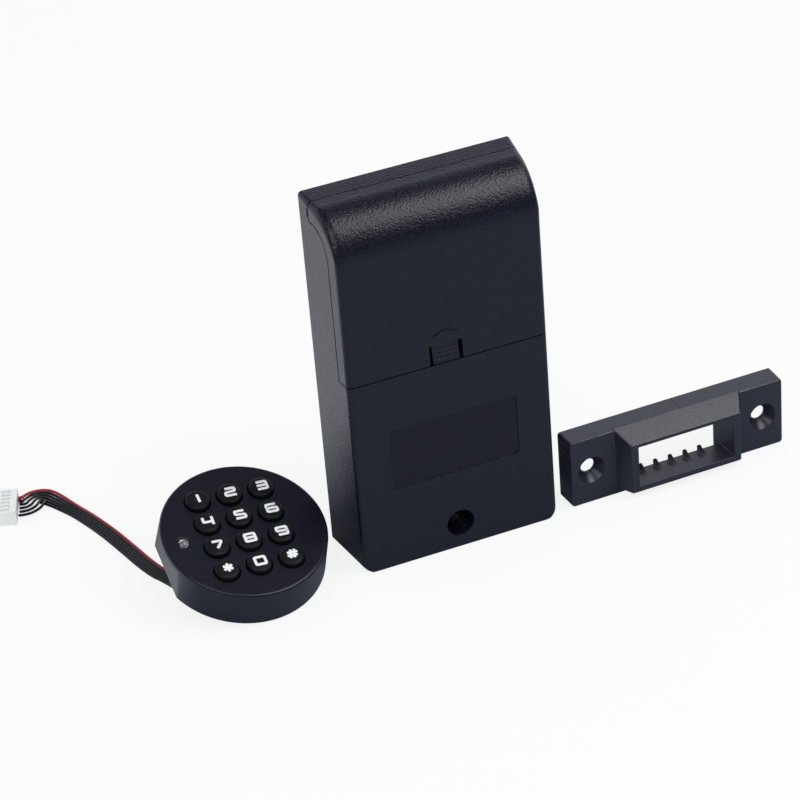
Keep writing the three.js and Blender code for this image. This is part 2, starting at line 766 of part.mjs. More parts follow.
function batteryCover() {
  let body = shell.intersect(coverZone(coverGap / 2));
  const roof = crownHeight(topParting, wall);
  for (const side of [-1, 1]) {
    const left = side * tongueX - tongueWidth / 2;
    const right = left + tongueWidth;
    const top = roof - 2 * slideGap;
    const tongue = block([left, yAt(topParting - tongueRoot), top - tongueThickness],
      [right, yAt(topParting + tongueReach), top]);
    const root = block([left, yAt(topParting - tongueRoot), top - tongueThickness],
      [right, yAt(topParting - coverGap / 2), roof + bond]);
    body = body.add(tongue).add(root.intersect(bodyForm(bond, bodyDepth)));
  }
  const inFace = yAt(wall - bond);
  const lipFront = yAt(latchSetback + latchThickness + 2 * slideGap);
  for (const side of [-1, 1]) {
    const near = latchCentre + side * (latchFlangeWidth / 2 + slideGap);
    const far = near + side * guideWall;
    const lip = near - side * guideLip;
    body = body.add(block([Math.min(near, far), inFace, flangeLow - slideGap],
      [Math.max(near, far), lipFront + guideWall, pocketTop]));
    body = body.add(block([Math.min(lip, far), lipFront, flangeLow - slideGap],
      [Math.max(lip, far), lipFront + guideWall, pocketTop]));
  }
  body = body.add(block([latchCentre - stopWidth / 2, inFace, stopLow],
    [latchCentre + stopWidth / 2, lipFront + guideWall, stopLow + stopHeight]));
  const windowHalf = latchWidth / 2 + slotWidth;
  body = body.subtract(block([latchCentre - windowHalf, yAt(-overrun), partingHeight - overrun],
    [latchCentre + windowHalf, yAt(wall + overrun), latchTop]));
  const pocketHalf = latchFlangeWidth / 2 + slideGap;
  body = body.subtract(block([latchCentre - pocketHalf, yAt(coverSkin), flangeLow - slideGap],
    [latchCentre + pocketHalf, yAt(wall + bond), pocketTop]));
  const springHalf = latchSpringRadius + latchSpringWire + slideGap;
  body = body.subtract(block([latchCentre - springHalf, yAt(coverSkin), pocketTop - overrun],
    [latchCentre + springHalf, yAt(wall + bond), stopLow]));
  return body.subtract(arrow());
}

// The arrow pressed into the cover above its latch
function arrow() {
  const low = partingHeight + arrowHeight;
  const half = arrowSpan / 2;
  const outline = [
    [latchCentre - half, low], [latchCentre, low + arrowRise], [latchCentre + half, low],
    [latchCentre + half, low + arrowLine], [latchCentre, low + arrowRise + arrowLine],
    [latchCentre - half, low + arrowLine],
  ];
  return prism('y', outline, yAt(-overrun), yAt(arrowDepth));
}

function coverLatch() {
  const front = yAt(latchSetback);
  const back = yAt(latchSetback + latchThickness);
  const tabLow = partingHeight + coverGap / 2;
  let body = block([latchCentre - latchWidth / 2, front, tabLow],
    [latchCentre + latchWidth / 2, back, flangeLow + bond]);
  body = body.add(block([latchCentre - latchFlangeWidth / 2, front, flangeLow],
    [latchCentre + latchFlangeWidth / 2, back, flangeTop]));
  const hookFront = yAt(wall + slideGap);
  const rimTop = partingHeight - coverGap / 2;
  body = body.add(block([latchCentre - hookWidth / 2, hookFront, rimTop - hookDrop],
    [latchCentre + hookWidth / 2, hookFront + hookThickness, tabLow + hookRise]));
  for (let i = 0; i < gripCount; i += 1) {
    const z = tabLow + gripPitch * (i + 1);
    body = body.subtract(block([latchCentre - latchWidth, yAt(-overrun), z],
      [latchCentre + latchWidth, front + gripDepth, z + gripWidth]));
  }
  return body;
}

function latchSpring() {
  const pitch = (latchSpringHeight - latchSpringWire) / latchSpringTurns;
  const y = yAt(latchSetback + latchThickness / 2 + slideGap);
  return coil(latchSpringRadius, latchSpringWire, pitch, latchSpringTurns)
    .translate([latchCentre, y, flangeTop + slideGap]);
}

function batteryTray() {
  const back = yAt(innerBack);
  const floorFront = yAt(wall + slideGap + hookThickness + hookRoom);
  const topFront = yAt(Math.max(crownFront(trayHigh, wall) + fitGap, frontRoom));
  const wallFront = yAt(cellRear + fitGap);
  const wallBack = wallFront + trayWall;
  const trayTopLow = trayHigh - trayFloor;
  let body = block([-trayHalfWidth, floorFront, trayLow], [trayHalfWidth, back, trayLow + trayFloor]);
  body = body.add(block([-trayHalfWidth, topFront, trayTopLow], [trayHalfWidth, back, trayHigh]));
  body = body.add(block([-trayHalfWidth, wallFront, trayLow], [trayHalfWidth, wallBack, trayHigh]));
  for (const side of [-1, 1]) {
    const outer = side * trayHalfWidth;
    const inner = side * (trayHalfWidth - trayWall);
    body = body.add(block([Math.min(outer, inner), topFront, trayLow],
      [Math.max(outer, inner), wallBack, trayHigh]));
  }
  for (let i = 1; i < cellCount; i += 1) {
    const x = (cellXs[i - 1] + cellXs[i]) / 2;
    body = body.add(block([x - dividerThickness / 2, cellAxisY, stackLow + fitGap],
      [x + dividerThickness / 2, wallBack, stackHigh - fitGap]));
  }
  return body;
}

function batteryCell(x, low, nubUp) {
  const radius = cellDiameter / 2;
  const shoulder = cellLength - nubHeight;
  const body = turned([
    [0, 0], [radius - cellEdge, 0], [radius, cellEdge], [radius, shoulder - cellEdge],
    [radius - cellEdge, shoulder], [nubDiameter / 2, shoulder], [nubDiameter / 2, cellLength], [0, cellLength],
  ], smallSides);
  const standing = nubUp ? body : body.mirror([0, 0, 1]).translate([0, 0, cellLength]);
  return standing.translate([x, cellAxisY, low]);
}

// One contact plate under or over a run of cells
function contactPlate(first, last, low) {
  return block([cellXs[first] - contactSize / 2, cellAxisY - contactSize / 2, low],
    [cellXs[last] + contactSize / 2, cellAxisY + contactSize / 2, low + contactThickness]);
}

// Bolt case
function boltFrame() {
  let body = block([frameLeft, frameFrontY, boltLow - slideGap - frameThickness],
    [frameRight, frameBackY, boltHigh + slideGap + frameThickness]);
  for (const low of [boltLow - slideGap - frameThickness, boltHigh + slideGap]) {
    body = body.add(block([frameLeft, boltFrontY, low], [frameRight, frameBackY, low + frameThickness]));
  }
  body = body.add(block([earX - earWidth / 2, frameFrontY, frameLow],
    [earX + earWidth / 2, frameBackY, frameHigh]));
  const clipLow = boltMiddle - motorHeight / 2 - fitGap - clipThickness;
  const clipHigh = boltMiddle + motorHeight / 2 + fitGap;
  body = body.add(block([motorLeft + clipInset, frameFrontY, clipLow],
    [frameLeft + bond, frameBackY, clipHigh + clipThickness]));
  for (const low of [clipLow, clipHigh]) {
    body = body.add(block([motorLeft + clipInset, boltFrontY + clipInset, low],
      [motorRight - clipInset, frameBackY, low + clipThickness]));
  }
  const pads = [
    [motorLeft + clipInset, boltMiddle - padSize / 2],
    [frameRight - padSize, boltLow], [frameRight - padSize, boltHigh - padSize],
  ];
  for (const [x, z] of pads) {
    body = body.add(block([x, frameFrontY, z], [x + padSize, boardFrontY, z + padSize]));
  }
  for (const z of earScrews) {
    body = body.subtract(rod('y', [earX, frameFrontY - overrun, z], frameThickness + 2 * overrun,
      frameScrewRadius + screwHoleGap, screwSides));
  }
  return body;
}

function bolt() {
  let body = block([boltTail, boltFrontY, boltLow], [boltNose, boltBackY, boltHigh]);
  body = body.subtract(rod('x', [boltTail - overrun, boltAxisY, boltMiddle],
    boreDepth + overrun, boreDiameter / 2));
  const bevel = prism('z', [
    [boltNose + overrun, boltFrontY - overrun], [boltNose + overrun, boltFrontY + boltBevel + overrun],
    [boltNose - boltBevel - overrun, boltFrontY - overrun],
  ], boltLow - overrun, boltHigh + overrun);
  body = body.subtract(bevel);
  return body.subtract(rod('z', [boltTail + pinInset, boltAxisY, boltMiddle], boltHeight,
    pinRadius + screwHoleGap, screwSides));
}

function drivePin() {
  const low = boltMiddle + shaftRadius + pinReach;
  return rod('z', [boltTail + pinInset, boltAxisY, low], boltHigh - pinSetback - low, pinRadius, screwSides);
}

function motor() {
  const half = motorHeight / 2;
  const body = rod('x', [motorLeft, boltAxisY, boltMiddle], motorLength, half);
  const flats = block([motorLeft - overrun, boltFrontY, boltMiddle - half],
    [motorRight + overrun, boltBackY, boltMiddle + half]);
  const bearing = rod('x', [motorRight - bond, boltAxisY, boltMiddle], motorBearing + bond, collarRadius);
  const bore = rod('x', [motorRight - overrun, boltAxisY, boltMiddle], 2 * overrun + motorBearing,
    shaftRadius + slideGap);
  return body.intersect(flats).add(bearing).subtract(bore);
}

const coilStart = boltTail + pinInset - coilPitch * coilLeadShare;
const coilTurns = boltTravel / coilPitch + coilLeadShare + coilEndShare;

function motorShaft() {
  const start = motorRight - overrun + slideGap;
  const shaft = rod('x', [start, boltAxisY, boltMiddle], boltTail + boreDepth - shaftEndGap - start,
    shaftRadius, smallSides);
  const collarStart = coilStart - coilWire - slideGap - collarLength;
  const collar = rod('x', [collarStart, boltAxisY, boltMiddle], collarLength, collarRadius, smallSides);
  return shaft.add(collar);
}

// A right-hand coil about X: its turns start at +Y and climb towards +Z
function driveSpring() {
  const wound = coil(coilRadius, coilWire, coilPitch, coilTurns).translate([0, 0, -coilWire / 2]);
  const turn = new THREE.Matrix4().makeBasis(
    new THREE.Vector3(0, 1, 0), new THREE.Vector3(0, 0, 1), new THREE.Vector3(1, 0, 0));
  return solid(geometryOf(wound).applyMatrix4(turn)).translate([coilStart, boltAxisY, boltMiddle]);
}

// Electronics in the lock body
function circuitBoard() {
  let body = block([-boardHalfWidth, boardFrontY, boardLow], [boardHalfWidth, boardBackY, boardHigh]);
  for (const z of earScrews) {
    body = body.subtract(rod('y', [earX, boardFrontY - overrun, z], boardThickness + 2 * overrun,
      frameScrewHead + screwClearance));
  }
  return body;
}

function ribbonSocket() {
  const halfX = connectorWidth / 2 + socketGap;
  const halfZ = connectorThickness / 2 + socketGap;
  const outer = block([-halfX - socketWall, boardBackY, socketHeight - halfZ - socketWall],
    [halfX + socketWall, yAt(bodyDepth), socketHeight + halfZ + socketWall]);
  const mouth = block([-halfX, boardBackY + socketFloor, socketHeight - halfZ],
    [halfX, yAt(bodyDepth + overrun), socketHeight + halfZ]);
  let body = outer.subtract(mouth);
  for (let i = 0; i < wireCount; i += 1) {
    const x = (i - (wireCount - 1) / 2) * connectorPitch;
    body = body.add(block([x - socketPin / 2, boardBackY + socketFloor - bond, socketHeight - socketPin / 2],
      [x + socketPin / 2, boardBackY + socketFloor + socketPinLength, socketHeight + socketPin / 2]));
  }
  return body;
}

function buzzer() {
  const z = boardHigh - buzzerDrop;
  const body = rod('y', [buzzerSide, boardBackY, z], buzzerHeight, buzzerRadius);
  return body.subtract(rod('y', [buzzerSide, boardBackY + buzzerHeight / 2, z],
    buzzerHeight, buzzerPort, screwSides));
}

// Keypad, built level in its own frame: +Z out of the face, +Y towards the top row of keys
const keyHoleRadius = keyDiameter / 2 + keyHoleGap;
const faceLow = keypadHeight - facePlate;
const boardSeat = keypadPlateThickness + fitGap;
const boardFace = boardSeat + keypadBoardThickness;
const flangeHigh = faceLow - keyFlangeGap;
const flangeBottom = flangeHigh - keyFlangeHeight;
const matTop = flangeBottom - keyTravel - matDrop;
const keyTop = keypadHeight + keyProud;
const keyRows = ['123', '456', '789', '*0#'];
const keyNames = { '*': 'key_star', '#': 'key_hash' };
const keys = keyRows.flatMap((row, r) => [...row].map((sign, c) => ({
  name: keyNames[sign] ?? `key_${sign}`,
  x: (c - (row.length - 1) / 2) * keyColumnPitch,
  y: ((keyRows.length - 1) / 2 - r) * keyRowPitch,
})));
const keypadBosses = keypadScrewAngles.map((degrees) => {
  const angle = THREE.MathUtils.degToRad(degrees);
  return [keypadScrewCircle * Math.cos(angle), keypadScrewCircle * Math.sin(angle)];
});
const postLine = keypadHeading + Math.PI / 2 - keypadSpin;
const keypadPosts = [-1, 1].map((side) => [
  side * keypadPostSpan / 2 * Math.cos(postLine),
  side * keypadPostSpan / 2 * Math.sin(postLine),
]);

// Cuts a disc back to a flat at a distance on its -X side
function flatCut(distance, low, high) {
  return block([-2 * keypadRadius, -keypadRadius, low], [-distance, keypadRadius, high]);
}

function keypadHousing() {
  const edge = [];
  for (let i = 0; i <= cornerSteps; i += 1) {
    const angle = (i / cornerSteps) * Math.PI / 2;
    edge.push([
      keypadTopRadius - keypadEdge * (1 - Math.cos(angle)),
      keypadHeight - keypadEdge * (1 - Math.sin(angle)),
    ]);
  }
  let body = turned([[0, 0], [keypadRadius, 0], ...edge, [0, keypadHeight]], keypadSides);
  body = body.subtract(flatCut(flatDistance, -overrun, keypadHeight - flatLip));
  const room = rod('z', [0, 0, -overrun], faceLow + overrun, keypadInner, keypadSides)
    .subtract(flatCut(flatDistance - flatWall, -2 * overrun, keypadHeight));
  body = body.subtract(room);
  for (const [x, y] of keypadBosses) {
    body = body.add(rod('z', [x, y, boardSeat], faceLow + bond - boardSeat, keypadBossRadius, smallSides));
    body = body.subtract(rod('z', [x, y, 0], keypadScrewLength + fitGap,
      keypadScrewRadius + screwHoleGap, screwSides));
  }
  for (const { x, y } of keys) {
    body = body.subtract(rod('z', [x, y, faceLow - overrun], facePlate + 2 * overrun,
      keyHoleRadius, keySides));
  }
  body = body.subtract(rod('z', [ledSide, ledRise, faceLow - overrun], facePlate + 2 * overrun,
    ledRadius + ledGap, smallSides));
  return body.subtract(rod('z', [ledSide, ledRise, keypadHeight - ledRingDepth], overrun,
    ledRadius + ledRing, smallSides));
}

function keypadBackPlate() {
  let body = rod('z', [0, 0, 0], keypadPlateThickness, keypadInner - fitGap, keypadSides)
    .subtract(flatCut(flatDistance - flatWall - fitGap, -overrun, keypadHeight));
  for (const [x, y] of keypadPosts) {
    body = body.add(rod('z', [x, y, -keypadPostLength], keypadPostLength + bond, keypadPostRadius));
    const depth = insertLength + insertRecess;
    body = body.subtract(rod('z', [x, y, -keypadPostLength - overrun], depth + overrun,
      insertRadius + fitGap));
  }
  for (const [x, y] of keypadBosses) {
    body = body.subtract(rod('z', [x, y, -overrun], keypadPlateThickness + 2 * overrun,
      keypadScrewRadius + screwHoleGap, smallSides));
    const sink = keypadScrewHead - keypadScrewRadius;
    body = body.subtract(cone('z', [x, y, 0], sink, keypadScrewHead + screwHoleGap,
      keypadScrewRadius + screwHoleGap, smallSides));
  }
  const slotX = ribbonSlotWidth / 2;
  const slotY = ribbonSlotHeight / 2;
  return body.subtract(block(
    [ribbonSlotSide - slotX, ribbonSlotRise - slotY, -overrun],
    [ribbonSlotSide + slotX, ribbonSlotRise + slotY, keypadPlateThickness + overrun]));
}

function keyMat() {
  const low = boardFace + fitGap;
  let body = rod('z', [0, 0, low], matTop - low, matRadius, keypadSides / 2);
  const edge = flatDistance - flatWall - matFlatGap;
  body = body.subtract(flatCut(edge, -overrun, keypadHeight));
  const hollow = rod('z', [0, 0, low - overrun], matTop - matThickness - low + overrun, matRadius - matRim,
    keypadSides / 2).subtract(flatCut(edge - matRim, -overrun, keypadHeight));
  body = body.subtract(hollow);
  for (const { x, y } of keys) {
    body = body.subtract(rod('z', [x, y, low], keypadHeight,
      keyDiameter / 2 - keyStemInset + keyHoleGap, smallSides));
  }
  body = body.subtract(rod('z', [ledSide, ledRise, 0], keypadHeight, ledRadius + ledGap, smallSides));
  for (const [x, y] of keypadBosses) {
    body = body.subtract(rod('z', [x, y, 0], keypadHeight, keypadBossRadius + fitGap, smallSides));
  }
  return body;
}

function keypadBoard() {
  let body = rod('z', [0, 0, boardSeat], keypadBoardThickness, keypadBoardRadius, keypadSides / 2)
    .subtract(flatCut(flatDistance - flatWall - fitGap, 0, keypadHeight));
  for (const [x, y] of keypadBosses) {
    body = body.subtract(rod('z', [x, y, 0], keypadHeight, keypadBossRadius + fitGap, smallSides));
  }
  return body;
}

function keyButton() {
  const radius = keyDiameter / 2;
  const stem = radius - keyStemInset;
  const stemLow = boardFace + keyTravel + keyBoardGap;
  const flange = keyHoleRadius + keyFlange;
  return turned([
    [0, stemLow], [stem, stemLow], [stem, flangeBottom], [flange, flangeBottom], [flange, flangeHigh],
    [radius, flangeHigh], [radius, keyTop - 2 * keyShoulder], [radius - keyShoulder, keyTop - keyShoulder / 2],
    [radius - 2 * keyShoulder, keyTop], [0, keyTop],
  ], keySides);
}

function statusLed() {
  const low = boardFace + fitGap;
  const domeRise = ledRadius * ledDomeShare;
  const domeBase = keypadHeight + ledProud - domeRise;
  const dome = [];
  for (let i = 0; i <= cornerSteps; i += 1) {
    const angle = (i / cornerSteps) * Math.PI / 2;
    dome.push([ledRadius * Math.cos(angle), domeBase + domeRise * Math.sin(angle)]);
  }
  dome[cornerSteps][0] = 0;
  return turned([[0, low], [ledRadius, low], ...dome], smallSides);
}

function insertBush() {
  const outer = rod('z', [0, 0, -keypadPostLength], insertLength, insertRadius, smallSides);
  return outer.subtract(rod('z', [0, 0, -keypadPostLength - overrun], insertLength + 2 * overrun,
    insertBore, screwSides));
}

function keypadScrew() {
  const sink = keypadScrewHead - keypadScrewRadius;
  const head = cone('z', [0, 0, 0], sink, keypadScrewHead, keypadScrewRadius, smallSides);
  const shank = rod('z', [0, 0, sink - bond], keypadScrewLength - sink, keypadScrewRadius, screwSides);
  const cut = block([-keypadScrewHead, -slotCut / 2, -overrun], [keypadScrewHead, slotCut / 2, slotDepth]);
  return head.add(shank).subtract(cut);
}

function keypadUnit() {
  const unit = new THREE.Group();
  unit.position.set(keypadX, keypadY, keypadRadius * Math.sin(keypadLean));
  const axis = new THREE.Vector3(-Math.sin(keypadHeading), Math.cos(keypadHeading), 0);
  unit.quaternion.setFromAxisAngle(axis, keypadLean);
  const spin = new THREE.Quaternion().setFromAxisAngle(new THREE.Vector3(0, 0, 1), keypadSpin);
  unit.quaternion.multiply(spin);
  place('keypad_housing', 'keypad', keypadHousing(), unit);
  place('keypad_back_plate', 'inner', keypadBackPlate(), unit);
  place('key_mat', 'rubber', keyMat(), unit);
  place('keypad_board', 'board', keypadBoard(), unit);
  place('status_led', 'lens', statusLed().translate([ledSide, ledRise, 0]), unit);
  for (const { name, x, y } of keys) {
    place(name, 'rubber', keyButton().translate([x, y, 0]), unit);
  }
  keypadPosts.forEach(([x, y], i) => {
    place(`post_insert_${i + 1}`, 'brass', insertBush().translate([x, y, 0]), unit);
  });
  keypadBosses.forEach(([x, y], i) => {
    place(`keypad_screw_${i + 1}`, 'steel', keypadScrew().translate([x, y, 0]), unit);
  });
  return unit;
}

// Ribbon and connector
class RibbonPath extends THREE.CatmullRomCurve3 {
  // The ribbon's width stays level, so its section never rolls
  computeFrenetFrames(segments) {
    const tangents = [];
    const normals = [];
    const binormals = [];
    const up = new THREE.Vector3(0, 0, 1);
    for (let i = 0; i <= segments; i += 1) {
      const tangent = this.getTangentAt(i / segments);
      const across = tangent.clone().cross(up).normalize();
      tangents.push(tangent);
      normals.push(across);
      binormals.push(tangent.clone().cross(across).normalize());
    }
    return { tangents, normals, binormals };
  }
}

function ribbonCable() {
  const half = ribbonWidth / 2;
  const thick = wirePitch / 2;
  const outline = [
    [half, thick - ribbonEdge], [half - ribbonEdge, thick],
    [ribbonEdge - half, thick], [-half, thick - ribbonEdge],
    [-half, ribbonEdge - thick], [ribbonEdge - half, -thick],
    [half - ribbonEdge, -thick], [half, ribbonEdge - thick],
  ].map(([u, v]) => new THREE.Vector2(u, v));
  const points = ribbonRoute.map((point) => new THREE.Vector3(...point));
  const path = new RibbonPath(points);
  const shape = new THREE.Shape(outline);
  return solid(new THREE.ExtrudeGeometry(shape, { steps: ribbonSteps, extrudePath: path }));
}

function ribbonConnector() {
  const halfW = connectorWidth / 2;
  const halfL = connectorLength / 2;
  const windowRise = connectorThickness * wireWindowShare;
  let body = block([-halfL, -halfW, 0], [halfL, halfW, connectorThickness]);
  for (let i = 0; i < wireCount; i += 1) {
    const y = (i - (wireCount - 1) / 2) * connectorPitch;
    body = body.subtract(block(
      [halfL - wireWindowDepth, y - wireWindowWidth / 2, (connectorThickness - windowRise) / 2],
      [halfL + overrun, y + wireWindowWidth / 2, (connectorThickness + windowRise) / 2]));
    body = body.subtract(block([-halfL - overrun, y - socketPin, connectorThickness / 2 - socketPin],
      [socketPinLength - halfL, y + socketPin, connectorThickness / 2 + socketPin]));
    body = body.subtract(block(
      [-latchWindowDepth, y - wireWindowWidth / 2, connectorThickness - latchWindowDepth],
      [halfL / 2, y + wireWindowWidth / 2, connectorThickness + overrun]));
  }
  const mesh = place('ribbon_connector', 'ivory', body);
  mesh.position.set(...connectorCentre, 0);
  mesh.rotation.z = connectorTurn - Math.PI;
}

// Strike: a flat plate with a raised keeper round a window, for the bolt to catch behind
function strike() {
  const plateRings = [];
  for (let i = 0; i <= edgeSteps; i += 1) {
    const angle = (i / edgeSteps) * Math.PI / 2;
    const depth = strikeEdge * (1 - Math.cos(angle));
    const inset = strikeEdge * (1 - Math.sin(angle));
    const draft = strikeEndDraft * (1 - depth / strikeThickness);
    plateRings.push(ringAt(depth, draft + inset, strikeLength - draft - inset, inset, strikeHeight - inset,
      smallestRadius));
  }
  plateRings.push(ringAt(strikeThickness, 0, strikeLength, 0, strikeHeight, smallestRadius));
  const middle = strikeLength / 2;
  const slope = (keeperLength - keeperFrontLength) / 2 / keeperReach;
  const keeperRing = (reach, inset) => {
    const half = keeperLength / 2 - slope * reach - inset;
    const high = strikeHeight - keeperRampDrop * reach / keeperReach - inset;
    return ringAt(-reach, middle - half, middle + half, keeperLow + inset, high, smallestRadius);
  };
  const keeper = skin([
    keeperRing(keeperReach, strikeEdge / 2), keeperRing(keeperReach - strikeEdge / 2, 0),
    keeperRing(-strikeEdge, 0),
  ]);
  let body = skin(plateRings).add(keeper);
  const halfWindow = windowLength / 2;
  body = body.subtract(block([middle - halfWindow, -keeperReach - overrun, windowLow],
    [middle + halfWindow, strikeThickness + overrun, windowHigh]));
  const pocketFront = strikeThickness - pocketDepth;
  body = body.subtract(block([middle - halfWindow, pocketFront, -overrun],
    [middle + halfWindow, strikeThickness + overrun, windowHigh]));
  for (let i = 0; i < gussetCount; i += 1) {
    const u = middle + gussetShift + (i - (gussetCount - 1) / 2) * gussetPitch;
    const outline = [
      [gussetInset - keeperReach, windowLow - bond], [pocketFront, windowLow - bond],
      [pocketFront, windowLow + gussetHeight], [gussetInset - keeperReach, windowLow],
    ];
    body = body.add(prism('x', outline, u - gussetThickness / 2, u + gussetThickness / 2));
  }
  const holeMiddle = strikeHeight / 2;
  for (const left of [screwPocketRim, strikeLength - screwPocketRim - screwPocketLength]) {
    body = body.subtract(block([left, screwSeat, screwPocketRim],
      [left + screwPocketLength, strikeThickness + overrun, strikeHeight - screwPocketRim]));
  }
  for (const u of [strikeHoleInset, strikeLength - strikeHoleInset]) {
    body = body.subtract(rod('y', [u, -overrun, holeMiddle], strikeThickness + 2 * overrun,
      strikeHoleDiameter / 2));
    body = body.subtract(cone('y', [u, 0, holeMiddle], strikeSinkDepth,
      strikeSinkDiameter / 2, strikeHoleDiameter / 2));
  }
  const mesh = place('strike_plate', 'strike', body);
  mesh.position.set(strikeX, strikeFrontY, 0);
  mesh.rotation.z = strikeYaw;
}

place('housing', 'shell', housing());
place('back_plate', 'inner', backPlate());
place('battery_cover', 'shell', batteryCover());
place('cover_latch', 'shell', coverLatch());
place('latch_spring', 'steel', latchSpring());
place('battery_tray', 'inner', batteryTray());
cellXs.forEach((x, i) => {
  const nubUp = i % 2 === 0;
  const low = nubUp ? stackLow + springHeight : stackLow;
  place(`battery_${i + 1}`, 'cell', batteryCell(x, low, nubUp));
  const pitch = (springHeight - springWire - slideGap) / springTurns;
  const springLow = nubUp ? stackLow : stackLow + cellLength;
  place(`contact_spring_${i + 1}`, 'steel',
    coil(springRadius, springWire, pitch, springTurns).translate([x, cellAxisY, springLow + slideGap / 2]));
});
place('contact_lower_end_1', 'steel', contactPlate(0, 0, contactLow));
place('contact_lower_bridge', 'steel', contactPlate(1, 2, contactLow));
place('contact_lower_end_2', 'steel', contactPlate(3, 3, contactLow));
place('contact_upper_bridge_1', 'steel', contactPlate(0, 1, stackHigh));
place('contact_upper_bridge_2', 'steel', contactPlate(2, 3, stackHigh));
place('bolt_frame', 'steel', boltFrame());
earScrews.forEach((z, i) => {
  place(`frame_screw_${i + 1}`, 'steel', screw(earX, frameBackY + frameScrewHeadHeight, z, frameScrewHead,
    frameScrewHeadHeight, frameScrewRadius, frameScrewLength, false));
});
place('motor', 'steel', motor());
place('motor_shaft', 'steel', motorShaft());
place('drive_spring', 'steel', driveSpring());
place('bolt', 'steel', bolt());
place('drive_pin', 'steel', drivePin());
place('circuit_board', 'board', circuitBoard());
place('ribbon_socket', 'ivory', ribbonSocket());
place('buzzer', 'chip', buzzer());
const chipLow = boltMiddle - chipSize / 2;
place('control_chip', 'chip', block([chipSide - chipSize / 2, boardBackY, chipLow],
  [chipSide + chipSize / 2, boardBackY + chipHeight, chipLow + chipSize]));
backScrews.forEach(([x, z], i) => {
  place(`back_screw_${i + 1}`, 'steel', screw(x, yAt(bodyDepth), z, backScrewHead,
    backScrewHead - backScrewRadius, backScrewRadius, backScrewLength, true));
});
lock.add(keypadUnit());
place('ribbon_cable', 'wires', ribbonCable());
ribbonConnector();
strike();

export default lock;
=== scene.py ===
"""Looks of the electronic cabinet lock: lock body, round keypad on its ribbon, and strike.

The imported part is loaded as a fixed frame. The visible pieces are built again in finer
detail over its nodes, and the inner ones keep their nodes and get their finishes.
Sizes are in millimetres until a piece is placed, and the frame is in metres.
"""

import json
import logging
import math
from dataclasses import dataclass, field
from enum import Enum
from typing import Callable, Iterable, Sequence

import bmesh
import bpy
from mathutils import Matrix, Vector

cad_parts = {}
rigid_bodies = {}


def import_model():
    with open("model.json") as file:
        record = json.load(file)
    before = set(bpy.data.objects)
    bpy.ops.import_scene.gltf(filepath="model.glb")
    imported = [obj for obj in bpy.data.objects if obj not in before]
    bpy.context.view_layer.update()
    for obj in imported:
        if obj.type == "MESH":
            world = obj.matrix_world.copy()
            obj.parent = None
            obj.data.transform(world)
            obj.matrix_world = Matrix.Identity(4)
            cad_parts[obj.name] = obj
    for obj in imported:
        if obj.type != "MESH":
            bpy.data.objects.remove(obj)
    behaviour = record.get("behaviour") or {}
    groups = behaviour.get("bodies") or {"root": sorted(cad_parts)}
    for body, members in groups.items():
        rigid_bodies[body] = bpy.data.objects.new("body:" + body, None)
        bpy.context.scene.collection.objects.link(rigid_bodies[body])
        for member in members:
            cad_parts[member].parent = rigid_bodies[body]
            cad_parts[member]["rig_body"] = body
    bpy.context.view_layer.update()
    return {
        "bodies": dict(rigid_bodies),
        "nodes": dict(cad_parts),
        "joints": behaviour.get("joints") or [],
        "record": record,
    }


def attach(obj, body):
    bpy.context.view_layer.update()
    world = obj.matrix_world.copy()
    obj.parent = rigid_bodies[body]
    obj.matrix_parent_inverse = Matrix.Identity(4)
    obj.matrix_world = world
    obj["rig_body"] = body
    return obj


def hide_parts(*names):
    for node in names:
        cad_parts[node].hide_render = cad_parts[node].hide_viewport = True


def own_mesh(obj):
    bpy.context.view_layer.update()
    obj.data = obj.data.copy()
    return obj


log = logging.getLogger("cabinet_lock")

# A millimetre in metres, and three lengths in millimetres: what a cut runs past a face, what
# parts of one piece overlap, and the clearance between pieces that slide
MM = 0.001
OVERRUN = 1.5
BOND = 0.2
GAP = 0.3

# Points this close, in millimetres, are one point. Faces this flat, in degrees, are one face.
WELD = 0.004
FLATNESS = 0.4

# Steps of one turn of wire, and the angle in degrees over which a plain node is smooth
COIL_STEPS = 24
NODE_SMOOTH = 35.0

# Colour of the white background as the camera sees it, and the bluish white that reflections see in its
# place, a painted cool tint in every reflection
WHITE = (1.0, 1.0, 1.0)
BLUISH_MIRRORED_WHITE = (0.88, 0.91, 1.0)

Point = tuple[float, float, float]
Flat = tuple[float, float]
Colour = tuple[float, float, float]


# Meshes


class Operation(Enum):
    """How two solids are combined."""

    UNITE = "UNION"
    CUT = "DIFFERENCE"
    COMMON = "INTERSECT"


class Axis(Enum):
    """The axis that an outline is run along or a rod lies on."""

    X = "x"
    Y = "y"
    Z = "z"


